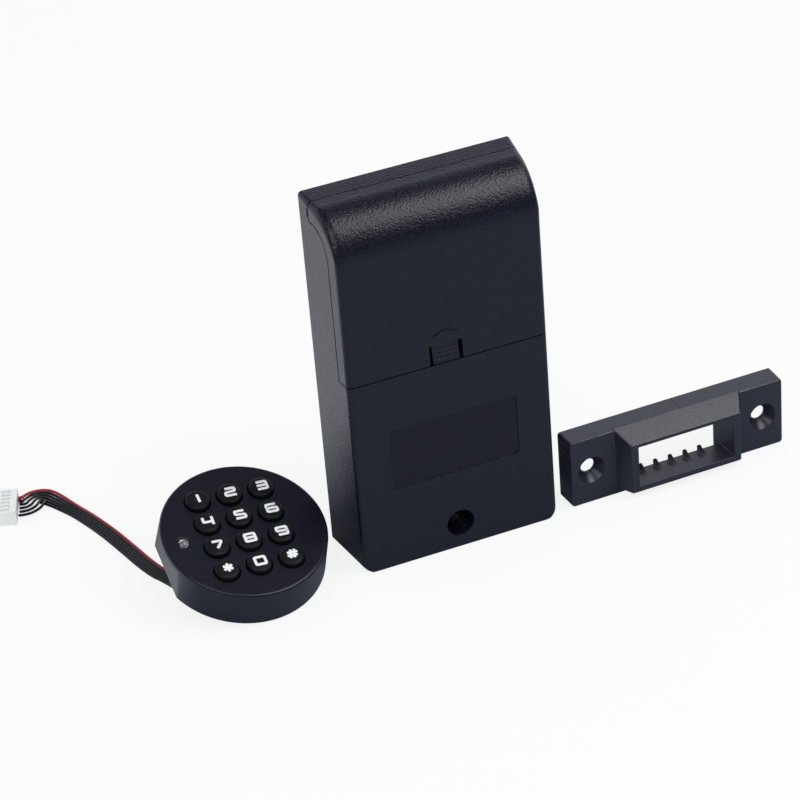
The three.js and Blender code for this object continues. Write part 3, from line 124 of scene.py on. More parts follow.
@dataclass
class Solid:
    """A closed mesh in millimetres.

    Attributes:
        points: The mesh's corners.
        faces: The corners of each face, counter-clockwise from outside.
    """

    points: list[Point]
    faces: list[tuple[int, ...]]

    @classmethod
    def from_mesh(cls, mesh: bpy.types.Mesh) -> "Solid":
        """Copies a Blender mesh."""
        return cls([tuple(v.co) for v in mesh.vertices], [tuple(f.vertices) for f in mesh.polygons])

    def to_mesh(self, name: str, scale: float = 1.0) -> bpy.types.Mesh:
        """Makes a Blender mesh with its faces turned outwards.

        Args:
            name: Name of the mesh.
            scale: Factor on every coordinate.

        Returns:
            The new mesh.
        """
        mesh = bpy.data.meshes.new(name)
        mesh.from_pydata([tuple(c * scale for c in p) for p in self.points], [], self.faces)
        work = bmesh.new()
        work.from_mesh(mesh)
        bmesh.ops.recalc_face_normals(work, faces=work.faces)
        work.to_mesh(mesh)
        work.free()
        return mesh

    def beside(self, *others: "Solid") -> "Solid":
        """Puts other solids into the same mesh, without joining them.

        Args:
            others: The solids that go beside this one.

        Returns:
            All of them in one mesh.
        """
        points, faces = list(self.points), list(self.faces)
        for other in others:
            start = len(points)
            points += other.points
            faces += [tuple(i + start for i in face) for face in other.faces]
        return Solid(points, faces)

    def moved(self, matrix: Matrix) -> "Solid":
        """Returns the solid under a transform."""
        return Solid([tuple(matrix @ Vector(p)) for p in self.points], list(self.faces))

    def shifted(self, x: float, y: float, z: float) -> "Solid":
        """Returns the solid moved by a distance along each axis."""
        return self.moved(Matrix.Translation((x, y, z)))

    def rounded(self, edging: "Edging") -> "Solid":
        """Rounds the sharp edges, for a fine cut after that.

        Args:
            edging: How its edges are rounded.

        Returns:
            The rounded solid.
        """
        mesh = self.to_mesh("rounded", MM)
        soften(mesh, edging)
        solid = Solid.from_mesh(mesh)
        bpy.data.meshes.remove(mesh)
        return Solid([tuple(c / MM for c in p) for p in solid.points], solid.faces)

    def combined(self, other: "Solid", operation: Operation) -> "Solid":
        """Combines two closed solids.

        Args:
            other: The second solid.
            operation: What to do with the two.

        Returns:
            The solid that is left.
        """
        host = bpy.data.objects.new("host", self.to_mesh("host"))
        tool = bpy.data.objects.new("tool", other.to_mesh("tool"))
        for item in (host, tool):
            bpy.context.scene.collection.objects.link(item)
        modifier = host.modifiers.new("combine", "BOOLEAN")
        modifier.operation = operation.value
        modifier.solver = "EXACT"
        modifier.object = tool
        graph = bpy.context.evaluated_depsgraph_get()
        result = bpy.data.meshes.new_from_object(host.evaluated_get(graph))
        solid = Solid.from_mesh(result)
        bpy.data.meshes.remove(result)
        for item in (host, tool):
            data = item.data
            bpy.data.objects.remove(item)
            bpy.data.meshes.remove(data)
        return solid

    def add(self, *others: "Solid") -> "Solid":
        """Unites the solid with others.

        Args:
            others: The solids that are joined to it, one after another.

        Returns:
            The united solid.
        """
        solid = self
        for other in others:
            solid = solid.combined(other, Operation.UNITE)
        return solid

    def cut(self, *others: "Solid") -> "Solid":
        """Takes others away from the solid.

        Args:
            others: The solids that are cut from it, one after another.

        Returns:
            What is left of it.
        """
        solid = self
        for other in others:
            solid = solid.combined(other, Operation.CUT)
        return solid

    def common(self, other: "Solid") -> "Solid":
        """Keeps what the solid shares with another."""
        return self.combined(other, Operation.COMMON)


def box(low: Sequence[float], high: Sequence[float]) -> Solid:
    """A plain block, for building and cutting.

    Args:
        low: Its corner with the least coordinates.
        high: Its corner with the greatest coordinates.

    Returns:
        The closed block.
    """
    corners = [(x, y, z) for x in (low[0], high[0]) for y in (low[1], high[1])
               for z in (low[2], high[2])]
    sides = [(0, 1, 3, 2), (4, 6, 7, 5), (0, 4, 5, 1), (2, 3, 7, 6), (0, 2, 6, 4), (1, 5, 7, 3)]
    return Solid(corners, sides)


def loft(rings: Sequence[Sequence[Point]]) -> Solid:
    """A closed skin over rings that have as many points each, with flat ends.

    Args:
        rings: The rings from one end to the other.

    Returns:
        The closed solid.
    """
    count = len(rings[0])
    points = [p for ring in rings for p in ring]
    faces: list[tuple[int, ...]] = []
    for r in range(len(rings) - 1):
        for i in range(count):
            j = (i + 1) % count
            faces.append((r * count + i, r * count + j, (r + 1) * count + j, (r + 1) * count + i))
    faces.append(tuple(reversed(range(count))))
    last = (len(rings) - 1) * count
    faces.append(tuple(range(last, last + count)))
    return Solid(points, faces)


def lathe(profile: Sequence[Flat], sides: int, axis: Axis = Axis.Z) -> Solid:
    """Turns a profile of (radius, height) points about an axis.

    Args:
        profile: Points from the lower end to the upper end, all off the axis.
        sides: Faces round the axis.
        axis: The axis that it is turned about.

    Returns:
        The closed solid.
    """
    rings = []
    for radius, height in profile:
        ring = []
        for i in range(sides):
            angle = 2 * math.pi * i / sides
            u, v = radius * math.cos(angle), radius * math.sin(angle)
            ring.append({Axis.X: (height, u, v), Axis.Y: (v, height, u), Axis.Z: (u, v, height)}[axis])
        rings.append(ring)
    return loft(rings)


def rod(axis: Axis, start: Sequence[float], length: float, radius: float,
        end: float | None = None, sides: int = 40) -> Solid:
    """A rod or cone along an axis.

    Args:
        axis: Direction of the rod.
        start: Middle of its first end.
        length: Its length along the axis.
        radius: Radius at the start.
        end: Radius at the other end, as at the start where it isn't given.
        sides: Faces round it.

    Returns:
        The closed solid.
    """
    tip = radius if end is None else end
    return lathe([(radius, 0.0), (tip, length)], sides, axis).shifted(*start)


def run(axis: Axis, outline: Sequence[Flat], start: float, stop: float) -> Solid:
    """Runs an outline along an axis.

    Args:
        axis: The axis that it is run along.
        outline: Its points: (y, z) on X, (x, z) on Y or (x, y) on Z.
        start: Where it begins on the axis.
        stop: Where it ends on the axis.

    Returns:
        The closed solid.
    """
    rings = [[{Axis.X: (at, u, v), Axis.Y: (u, at, v), Axis.Z: (u, v, at)}[axis]
              for u, v in outline] for at in (start, stop)]
    return loft(rings)


def rounded_outline(left: float, right: float, low: float, high: float, radius: float,
                    steps: int) -> list[Flat]:
    """A rectangle with round corners, as points in a plane.

    Args:
        left: Its left side.
        right: Its right side.
        low: Its lower side.
        high: Its upper side.
        radius: Radius of its corners.
        steps: Steps round each corner.

    Returns:
        The outline's points, counter-clockwise.
    """
    corners = [(right - radius, high - radius), (left + radius, high - radius),
               (left + radius, low + radius), (right - radius, low + radius)]
    outline = []
    for quarter, (u, v) in enumerate(corners):
        for i in range(steps + 1):
            angle = (quarter + i / steps) * math.pi / 2
            outline.append((u + radius * math.cos(angle), v + radius * math.sin(angle)))
    return outline


def shoulder(radius: float, top: float, rounding: float, steps: int) -> list[Flat]:
    """The round shoulder of a profile, from its side up to its top.

    Args:
        radius: Radius where it begins.
        top: Height where it ends.
        rounding: Radius of the shoulder.
        steps: Steps along it.

    Returns:
        Its points, as radius and height.
    """
    points = []
    for i in range(steps + 1):
        angle = i / steps * math.pi / 2
        points.append((radius - rounding * (1 - math.cos(angle)),
                       top - rounding * (1 - math.sin(angle))))
    return points


def tube(line: Sequence[Vector], radius: float | Sequence[float], sides: int) -> Solid:
    """A round tube that follows a line, with its section kept from rolling.

    Args:
        line: Centre of each ring.
        radius: The tube's radius, or one for each ring.
        sides: Faces round it.

    Returns:
        The closed solid.
    """
    radii = [radius] * len(line) if isinstance(radius, (int, float)) else list(radius)
    last = len(line) - 1
    ways = [(line[min(i + 1, last)] - line[max(i - 1, 0)]).normalized() for i in range(last + 1)]
    upright = abs(ways[0].z) >= 0.9
    first = Vector((1, 0, 0)) if upright else Vector((0, 0, 1))
    across = ways[0].cross(first).normalized()
    rings = []
    for centre, way, size in zip(line, ways, radii):
        across = (across - way * across.dot(way)).normalized()
        other = way.cross(across)
        rings.append([tuple(centre + size * (across * math.cos(2 * math.pi * i / sides)
                                             + other * math.sin(2 * math.pi * i / sides)))
                      for i in range(sides)])
    return loft(rings)


def coil_line(radius: float, wire: float, pitch: float, turns: float,
              spread: float = 0.0) -> list[Vector]:
    """Centres along a coil of wire about Z that starts at height 0.

    Args:
        radius: Radius of the first turn.
        wire: Thickness of the wire.
        pitch: Rise of one turn.
        turns: Number of turns.
        spread: What the radius has gained at the far end.

    Returns:
        The centre of each ring of the wire.
    """
    count = round(turns * COIL_STEPS)
    line = []
    for i in range(count + 1):
        angle, reach = 2 * math.pi * i / COIL_STEPS, radius + spread * i / count
        line.append(Vector((reach * math.cos(angle), reach * math.sin(angle),
                            wire / 2 + pitch * i / COIL_STEPS)))
    return line


@dataclass(frozen=True)
class Edging:
    """How the edges of a piece are rounded and shaded.

    Attributes:
        width: Width of the rounding in millimetres, or 0 for none.
        segments: Steps across it.
        sharp: Least angle between faces, in degrees, that counts as an edge.
        smooth: Angle in degrees up to which shading runs on across an edge.
        merge: Whether points that meet are made one and flat faces are joined.
    """

    width: float = 0.2
    segments: int = 2
    sharp: float = 32.0
    smooth: float = 40.0
    merge: bool = True


def soften(mesh: bpy.types.Mesh, edging: Edging) -> None:
    """Rounds a mesh's sharp edges and sets its shading.

    Args:
        mesh: The mesh, in metres.
        edging: How far to round and where.
    """
    work = bmesh.new()
    work.from_mesh(mesh)
    if edging.merge:
        bmesh.ops.remove_doubles(work, verts=work.verts, dist=WELD * MM)
        bmesh.ops.dissolve_degenerate(work, edges=work.edges, dist=WELD * MM)
        bmesh.ops.recalc_face_normals(work, faces=work.faces)
        bmesh.ops.dissolve_limit(work, angle_limit=math.radians(FLATNESS), verts=work.verts,
                                 edges=work.edges)
    if edging.width > 0:
        limit = math.radians(edging.sharp)
        edges = [e for e in work.edges
                 if len(e.link_faces) == 2 and e.calc_face_angle(0.0) > limit]
        bmesh.ops.bevel(work, geom=edges, offset=edging.width * MM, offset_type="OFFSET",
                        profile=0.5, segments=edging.segments, affect="EDGES",
                        clamp_overlap=False)
    bmesh.ops.recalc_face_normals(work, faces=work.faces)
    work.to_mesh(mesh)
    work.free()
    for polygon in mesh.polygons:
        polygon.use_smooth = True
    mesh.set_sharp_from_angle(angle=math.radians(edging.smooth))


# Shader groups and finishes


class Nodes:
    """Short calls for building one node tree."""

    def __init__(self, tree: bpy.types.NodeTree) -> None:
        """Keeps the tree that the nodes go into."""
        self.tree = tree

    def node(self, kind: str, **settings: object) -> bpy.types.Node:
        """Adds a node.

        Args:
            kind: Blender's name of the node's type.
            settings: Values for the node's own properties, or for its inputs where the
                key names none of them, with underscores for spaces.

        Returns:
            The new node.
        """
        made = self.tree.nodes.new(kind)
        for key, value in settings.items():
            if hasattr(made, key):
                setattr(made, key, value)
            else:
                made.inputs[key.replace("_", " ")].default_value = value
        return made

    def link(self, source: bpy.types.NodeSocket, target: bpy.types.NodeSocket) -> None:
        """Joins an output to an input."""
        self.tree.links.new(source, target)

    def math(self, operation: str, first: object, second: object = 0.0,
             clamp: bool = False) -> bpy.types.NodeSocket:
        """Adds a sum of two values.

        Args:
            operation: Name of the operation.
            first: A socket or a number.
            second: A socket or a number.
            clamp: Keeps the result between 0 and 1.

        Returns:
            The socket with the result.
        """
        made = self.node("ShaderNodeMath", operation=operation, use_clamp=clamp)
        for slot, value in enumerate((first, second)):
            if isinstance(value, bpy.types.NodeSocket):
                self.link(value, made.inputs[slot])
            else:
                made.inputs[slot].default_value = value
        return made.outputs[0]

    def ranged(self, value: bpy.types.NodeSocket, low: float, high: float,
               out_low: float = 0.0, out_high: float = 1.0) -> bpy.types.NodeSocket:
        """Maps a value from one range to another and keeps it inside.

        Args:
            value: The socket with the value.
            low: Start of its range.
            high: End of its range.
            out_low: Result at the start and before it.
            out_high: Result at the end and past it.

        Returns:
            The socket with the result.
        """
        made = self.node("ShaderNodeMapRange", clamp=True)
        for slot, number in enumerate((low, high, out_low, out_high), start=1):
            made.inputs[slot].default_value = number
        self.link(value, made.inputs[0])
        return made.outputs[0]

    def mixed(self, factor: object, first: object, second: object) -> bpy.types.NodeSocket:
        """Mixes two colours.

        Args:
            factor: A socket or a number.
            first: Colour or socket at factor 0.
            second: Colour or socket at factor 1.

        Returns:
            The socket with the colour.
        """
        # The node's sockets 0, 6 and 7 are the factor and the colours, and 2 is the result
        made = self.node("ShaderNodeMix", data_type="RGBA")
        for slot, value in ((0, factor), (6, first), (7, second)):
            if isinstance(value, bpy.types.NodeSocket):
                self.link(value, made.inputs[slot])
            elif slot == 0:
                made.inputs[slot].default_value = value
            else:
                made.inputs[slot].default_value = (*value, 1.0)
        return made.outputs[2]


class Effects:
    """Node groups that more than one finish uses, each built once."""

    def __init__(self) -> None:
        """Builds every group."""
        self.grain = self._group("moulded_grain", self._grain,
                                 {"Size": 0.5, "Roundness": 0.5}, ("Height", "Mask"))
        self.tone = self._group("tone_drift", self._tone, {"Size": 12.0, "Amount": 0.15}, ("Value",))
        self.wear = self._group("edge_wear", self._wear, {"Amount": 0.5, "Size": 1.2}, ("Mask",))
        self.dust = self._group("dust_specks", self._dust,
                                {"Spacing": 6.0, "Share": 0.2, "Radius": 0.1}, ("Mask",))
        self.brushed = self._group("brushed_lines", self._brushed,
                                   {"Size": 0.12, "Stretch": 14.0}, ("Height", "Mask"))

    @staticmethod
    def _group(name: str, fill: Callable[[Nodes, bpy.types.Node, bpy.types.Node], None],
               inputs: dict[str, float], outputs: Iterable[str]) -> bpy.types.NodeTree:
        """Builds one group.

        Args:
            name: Name of the group.
            fill: Puts the nodes between the group's input and output.
            inputs: Usual value of each input, by its name.
            outputs: Name of each output.

        Returns:
            The group's tree.
        """
        tree = bpy.data.node_groups.new(name, "ShaderNodeTree")
        for label, usual in inputs.items():
            socket = tree.interface.new_socket(label, in_out="INPUT", socket_type="NodeSocketFloat")
            socket.default_value = usual
        for label in outputs:
            tree.interface.new_socket(label, in_out="OUTPUT", socket_type="NodeSocketFloat")
        nodes = Nodes(tree)
        fill(nodes, nodes.node("NodeGroupInput"), nodes.node("NodeGroupOutput"))
        return tree

    @staticmethod
    def _place(nodes: Nodes, size: bpy.types.NodeSocket) -> bpy.types.NodeSocket:
        """The surface's own place, counted in steps of a size.

        Args:
            nodes: The tree.
            size: The socket with the size in millimetres.

        Returns:
            The socket with the place.
        """
        where = nodes.node("ShaderNodeTexCoord")
        per = nodes.math("DIVIDE", 1.0, nodes.math("MULTIPLY", size, MM))
        scaled = nodes.node("ShaderNodeVectorMath", operation="SCALE")
        nodes.link(where.outputs["Object"], scaled.inputs[0])
        nodes.link(per, scaled.inputs["Scale"])
        return scaled.outputs[0]

    def _grain(self, nodes: Nodes, given: bpy.types.Node, out: bpy.types.Node) -> None:
        """Fine spark-eroded grain: small rounded grains of uneven size.

        Args:
            nodes: The group's tree.
            given: The group's input.
            out: The group's output.
        """
        place = self._place(nodes, given.outputs["Size"])
        cells = nodes.node("ShaderNodeTexVoronoi", feature="SMOOTH_F1", Scale=1.0, Randomness=1.0)
        nodes.link(given.outputs["Roundness"], cells.inputs["Smoothness"])
        nodes.link(place, cells.inputs["Vector"])
        cloud = nodes.node("ShaderNodeTexNoise", Scale=0.55, Detail=2.0, Roughness=0.6)
        nodes.link(place, cloud.inputs["Vector"])
        grains = nodes.math("SUBTRACT", 1.0, cells.outputs["Distance"])
        height = nodes.math("ADD", grains, nodes.math("MULTIPLY", cloud.outputs[0], 0.8))
        nodes.link(height, out.inputs["Height"])
        nodes.link(nodes.ranged(height, low=0.75, high=1.45), out.inputs["Mask"])

    def _tone(self, nodes: Nodes, given: bpy.types.Node, out: bpy.types.Node) -> None:
        """Slow drift about 1, for colour and roughness.

        Args:
            nodes: The group's tree.
            given: The group's input.
            out: The group's output.
        """
        cloud = nodes.node("ShaderNodeTexNoise", Scale=1.0, Detail=3.0, Roughness=0.55)
        nodes.link(self._place(nodes, given.outputs["Size"]), cloud.inputs["Vector"])
        centred = nodes.math("MULTIPLY", nodes.math("SUBTRACT", cloud.outputs[0], 0.5),
                             given.outputs["Amount"])
        nodes.link(nodes.math("ADD", 1.0, nodes.math("MULTIPLY", centred, 2.0)), out.inputs["Value"])

    def _wear(self, nodes: Nodes, given: bpy.types.Node, out: bpy.types.Node) -> None:
        """Rubbed edges, broken up along their length.

        Args:
            nodes: The group's tree.
            given: The group's input.
            out: The group's output.
        """
        round_normal = nodes.node("ShaderNodeBevel", samples=4, Radius=0.35 * MM)
        turned = nodes.node("ShaderNodeVectorMath", operation="DOT_PRODUCT")
        nodes.link(round_normal.outputs[0], turned.inputs[0])
        nodes.link(nodes.node("ShaderNodeNewGeometry").outputs["Normal"], turned.inputs[1])
        edges = nodes.ranged(nodes.math("SUBTRACT", 1.0, turned.outputs["Value"]), low=0.03, high=0.25)
        cloud = nodes.node("ShaderNodeTexNoise", Scale=1.0, Detail=4.0, Roughness=0.65)
        nodes.link(self._place(nodes, given.outputs["Size"]), cloud.inputs["Vector"])
        broken = nodes.math("MULTIPLY", edges, nodes.ranged(cloud.outputs[0], low=0.35, high=0.65))
        rubbed = nodes.math("MULTIPLY", broken, given.outputs["Amount"], clamp=True)
        nodes.link(rubbed, out.inputs["Mask"])

    def _dust(self, nodes: Nodes, given: bpy.types.Node, out: bpy.types.Node) -> None:
        """Single specks of dust, far apart.

        Args:
            nodes: The group's tree.
            given: The group's input.
            out: The group's output.
        """
        place = self._place(nodes, given.outputs["Spacing"])
        cells = nodes.node("ShaderNodeTexVoronoi", feature="F1", Scale=1.0, Randomness=1.0)
        nodes.link(place, cells.inputs["Vector"])
        reach = nodes.math("DIVIDE", given.outputs["Radius"], given.outputs["Spacing"])
        inside = nodes.math("LESS_THAN", cells.outputs["Distance"], reach)
        chance = nodes.node("ShaderNodeSeparateColor")
        nodes.link(cells.outputs["Color"], chance.inputs[0])
        chosen = nodes.math("LESS_THAN", chance.outputs[0], given.outputs["Share"])
        nodes.link(nodes.math("MULTIPLY", inside, chosen), out.inputs["Mask"])

    def _brushed(self, nodes: Nodes, given: bpy.types.Node, out: bpy.types.Node) -> None:
        """Fine lines along X, as rolling or brushing leaves them.

        Args:
            nodes: The group's tree.
            given: The group's input.
            out: The group's output.
        """
        place = self._place(nodes, given.outputs["Size"])
        squeeze = nodes.node("ShaderNodeCombineXYZ", Y=1.0, Z=1.0)
        nodes.link(nodes.math("DIVIDE", 1.0, given.outputs["Stretch"]), squeeze.inputs[0])
        stretched = nodes.node("ShaderNodeVectorMath", operation="MULTIPLY")
        nodes.link(place, stretched.inputs[0])
        nodes.link(squeeze.outputs[0], stretched.inputs[1])
        lines = nodes.node("ShaderNodeTexNoise", Scale=1.0, Detail=4.0, Roughness=0.7)
        nodes.link(stretched.outputs[0], lines.inputs["Vector"])
        nodes.link(lines.outputs[0], out.inputs["Height"])
        nodes.link(nodes.ranged(lines.outputs[0], low=0.3, high=0.7), out.inputs["Mask"])


class Made(Enum):
    """What a finish is made of, which settles how its surface is broken up."""

    MOULDED = "moulded"
    RUBBER = "rubber"
    METAL = "metal"
    PRINT = "print"
    BOARD = "board"
    CLEAR = "clear"


@dataclass(frozen=True)
class Finish:
    """One finish of the lock.

    Attributes:
        name: Name of the material.
        made: What it is made of.
        colour: Base colour, linear.
        roughness: Middle roughness.
        specular: Specular level.
        grain: Size of the grain in millimetres.
        relief: Depth of the grain in millimetres.
        contrast: How much the grain lightens the colour.
        drift: Slow change of colour over the surface.
        wear: Strength of the rubbed edges.
        worn: Colour of a rubbed edge.
        dust: Share of the dust's places that hold a speck.
        dust_colour: Colour of a speck.
        coat: Clear coat.
        coat_roughness: Roughness of the clear coat.
        clearness: Share of the light that a clear finish lets through.
        index: Refractive index of a clear finish.
        drift_size: Size of the slow changes in millimetres.
        unevenness: How much the grain changes the roughness.
    """

    name: str
    made: Made
    colour: Colour
    roughness: float
    specular: float = 0.5
    grain: float = 0.4
    relief: float = 0.01
    contrast: float = 0.2
    drift: float = 0.1
    wear: float = 0.3
    worn: Colour = (0.09, 0.09, 0.10)
    dust: float = 0.0
    dust_colour: Colour = (0.16, 0.16, 0.18)
    coat: float = 0.0
    coat_roughness: float = 0.2
    clearness: float = 0.94
    index: float = 1.5
    drift_size: float = 14.0
    unevenness: float = 0.12

    def material(self, effects: Effects) -> bpy.types.Material:
        """Builds the material.

        Args:
            effects: The shared groups.

        Returns:
            The material with its node tree.
        """
        made = bpy.data.materials.new(self.name)
        made.use_nodes = True
        made.node_tree.nodes.clear()
        nodes = Nodes(made.node_tree)
        surface = nodes.node("ShaderNodeBsdfPrincipled")
        output = nodes.node("ShaderNodeOutputMaterial")
        nodes.link(surface.outputs[0], output.inputs["Surface"])
        surface.inputs["Metallic"].default_value = 1.0 if self.made is Made.METAL else 0.0
        surface.inputs["Specular IOR Level"].default_value = self.specular
        surface.inputs["Coat Weight"].default_value = self.coat
        surface.inputs["Coat Roughness"].default_value = self.coat_roughness
        if self.made is Made.CLEAR:
            surface.inputs["Transmission Weight"].default_value = self.clearness
            surface.inputs["IOR"].default_value = self.index
        base = self._group(nodes, effects.brushed if self.made is Made.METAL else effects.grain,
                           Size=self.grain)
        drift = self._group(nodes, effects.tone, Size=self.drift_size, Amount=self.drift)
        lift = nodes.ranged(base.outputs["Mask"], 0.0, 1.0, 1.0 - self.contrast, 1.0 + self.contrast)
        level = nodes.math("MULTIPLY", lift, drift.outputs[0])
        tint = nodes.node("ShaderNodeVectorMath", operation="SCALE")
        tint.inputs[0].default_value = self.colour
        nodes.link(level, tint.inputs["Scale"])
        wear = self._group(nodes, effects.wear, Amount=self.wear)
        colour = nodes.mixed(wear.outputs[0], tint.outputs[0], self.worn)
        if self.dust > 0:
            specks = self._group(nodes, effects.dust, Share=self.dust)
            colour = nodes.mixed(specks.outputs[0], colour, self.dust_colour)
        nodes.link(colour, surface.inputs["Base Color"])
        spread = nodes.math("MULTIPLY", nodes.math("SUBTRACT", base.outputs["Mask"], 0.5),
                            self.unevenness)
        rough = nodes.math("ADD", spread, self.roughness)
        nodes.link(nodes.math("MULTIPLY", rough, drift.outputs[0], clamp=True),
                   surface.inputs["Roughness"])
        bump = nodes.node("ShaderNodeBump", Strength=1.0, Distance=self.relief * MM)
        nodes.link(base.outputs["Height"], bump.inputs["Height"])
        nodes.link(bump.outputs[0], surface.inputs["Normal"])
        made.diffuse_color = (*self.colour, 1.0)
        return made

    @staticmethod
    def _group(nodes: Nodes, tree: bpy.types.NodeTree, **values: float) -> bpy.types.Node:
        """Places a shared group in a material.

        Args:
            nodes: The material's tree.
            tree: The group.
            values: Value of each input that differs from the usual one.

        Returns:
            The group's node.
        """
        made = nodes.node("ShaderNodeGroup", node_tree=tree)
        for key, value in values.items():
            made.inputs[key].default_value = value
        return made


class Finishes:
    """Every finish of the lock, each made into a material when it is first used."""

    SHELL = Finish("shell_black", Made.MOULDED, (0.0036, 0.0044, 0.0135), 0.34, specular=0.5, grain=0.5,
                   relief=0.078, contrast=0.35, dust=0.14)
    SEAT = Finish("label_seat", Made.MOULDED, (0.0040, 0.0040, 0.0095), 0.30, specular=0.38, grain=0.4,
                  relief=0.004, contrast=0.1, dust=0.06)
    KEYPAD = Finish("keypad_black", Made.MOULDED, (0.0040, 0.0046, 0.0130), 0.34, specular=0.55,
                    grain=0.3, relief=0.008, contrast=0.15, dust=0.05)
    STRIKE = Finish("strike_slate", Made.MOULDED, (0.0120, 0.0128, 0.0255), 0.34, specular=0.62,
                    grain=0.32, relief=0.024, contrast=0.3, dust=0.05)
    INNER = Finish("inner_black", Made.MOULDED, (0.018, 0.018, 0.021), 0.5, specular=0.4, grain=0.4,
                   relief=0.012)
    RUBBER = Finish("key_rubber", Made.RUBBER, (0.0030, 0.0032, 0.0055), 0.50, specular=0.28, grain=0.3,
                    relief=0.02, contrast=0.3, wear=0.0)
    LEGEND = Finish("key_print", Made.PRINT, (0.86, 0.86, 0.85), 0.5, grain=0.2, relief=0.004,
                    contrast=0.03, drift=0.02, wear=0.0)
    LAMP = Finish("lamp_clear", Made.CLEAR, (0.88, 0.90, 0.92), 0.03, specular=0.6, grain=0.5, relief=0.002,
                  contrast=0.05, drift=0.05, wear=0.0)
    STEEL = Finish("steel", Made.METAL, (0.56, 0.57, 0.58), 0.32, grain=0.12, relief=0.004, contrast=0.1,
                   wear=0.2, worn=(0.75, 0.75, 0.75))
    BRASS = Finish("brass", Made.METAL, (0.60, 0.42, 0.17), 0.3, grain=0.12, relief=0.004, contrast=0.1,
                   wear=0.2, worn=(0.8, 0.62, 0.3))
    WRAP = Finish("cell_wrap", Made.PRINT, (0.035, 0.037, 0.045), 0.3, grain=0.6, relief=0.003,
                  contrast=0.08, coat=0.4)
    WRAP_BAND = Finish("cell_band", Made.PRINT, (0.33, 0.35, 0.38), 0.3, grain=0.6, relief=0.003,
                       contrast=0.06, coat=0.4)
    BOARD = Finish("board_green", Made.BOARD, (0.008, 0.085, 0.030), 0.38, grain=0.9, relief=0.02,
                   contrast=0.3, worn=(0.03, 0.16, 0.06))
    CHIP = Finish("chip_black", Made.MOULDED, (0.012, 0.012, 0.013), 0.45, grain=0.2, relief=0.008)
    IVORY = Finish("connector_white", Made.MOULDED, (0.86, 0.86, 0.84), 0.42, grain=0.4, relief=0.004,
                   contrast=0.03, drift=0.02, wear=0.0)
    WIRE_BLACK = Finish("wire_black", Made.RUBBER, (0.0030, 0.0031, 0.0045), 0.36, specular=0.32, grain=0.5,
                        relief=0.006, contrast=0.15, wear=0.0)
    WIRE_RED = Finish("wire_red", Made.RUBBER, (0.40, 0.022, 0.026), 0.40, specular=0.3, grain=0.5,
                      relief=0.006, contrast=0.1, wear=0.0)

    def __init__(self) -> None:
        """Builds the shared groups."""
        self._effects = Effects()
        self._made: dict[str, bpy.types.Material] = {}

    def of(self, finish: Finish) -> bpy.types.Material:
        """The material of a finish, built at its first use.

        Args:
            finish: The finish.

        Returns:
            Its material.
        """
        if finish.name not in self._made:
            self._made[finish.name] = finish.material(self._effects)
        return self._made[finish.name]


# Finish of the nodes in each material slot
SLOT_FINISHES: dict[str, Finish] = {
    "shell_plastic": Finishes.SHELL, "keypad_plastic": Finishes.KEYPAD, "strike_plastic": Finishes.STRIKE,
    "inner_plastic": Finishes.INNER, "key_rubber": Finishes.RUBBER, "steel": Finishes.STEEL,
    "brass": Finishes.BRASS, "cell_wrap": Finishes.WRAP, "circuit_board": Finishes.BOARD,
    "chip_black": Finishes.CHIP, "connector_white": Finishes.IVORY, "lens_clear": Finishes.LAMP,
    "wire_insulation": Finishes.WIRE_BLACK,
}

# Nodes whose edges are only rounded, with the width of the rounding in millimetres
REFINED: dict[str, float] = {
    "back_plate": 0.15, "keypad_back_plate": 0.2, "battery_tray": 0.2, "bolt": 0.4, "bolt_frame": 0.12,
    "motor": 0.2, "ribbon_socket": 0.1, "circuit_board": 0.1, "keypad_board": 0.1, "control_chip": 0.1,
    "buzzer": 0.2, "contact_lower_end_1": 0.1, "contact_lower_bridge": 0.1, "contact_lower_end_2": 0.1,
    "contact_upper_bridge_1": 0.1, "contact_upper_bridge_2": 0.1,
}


# Placing pieces


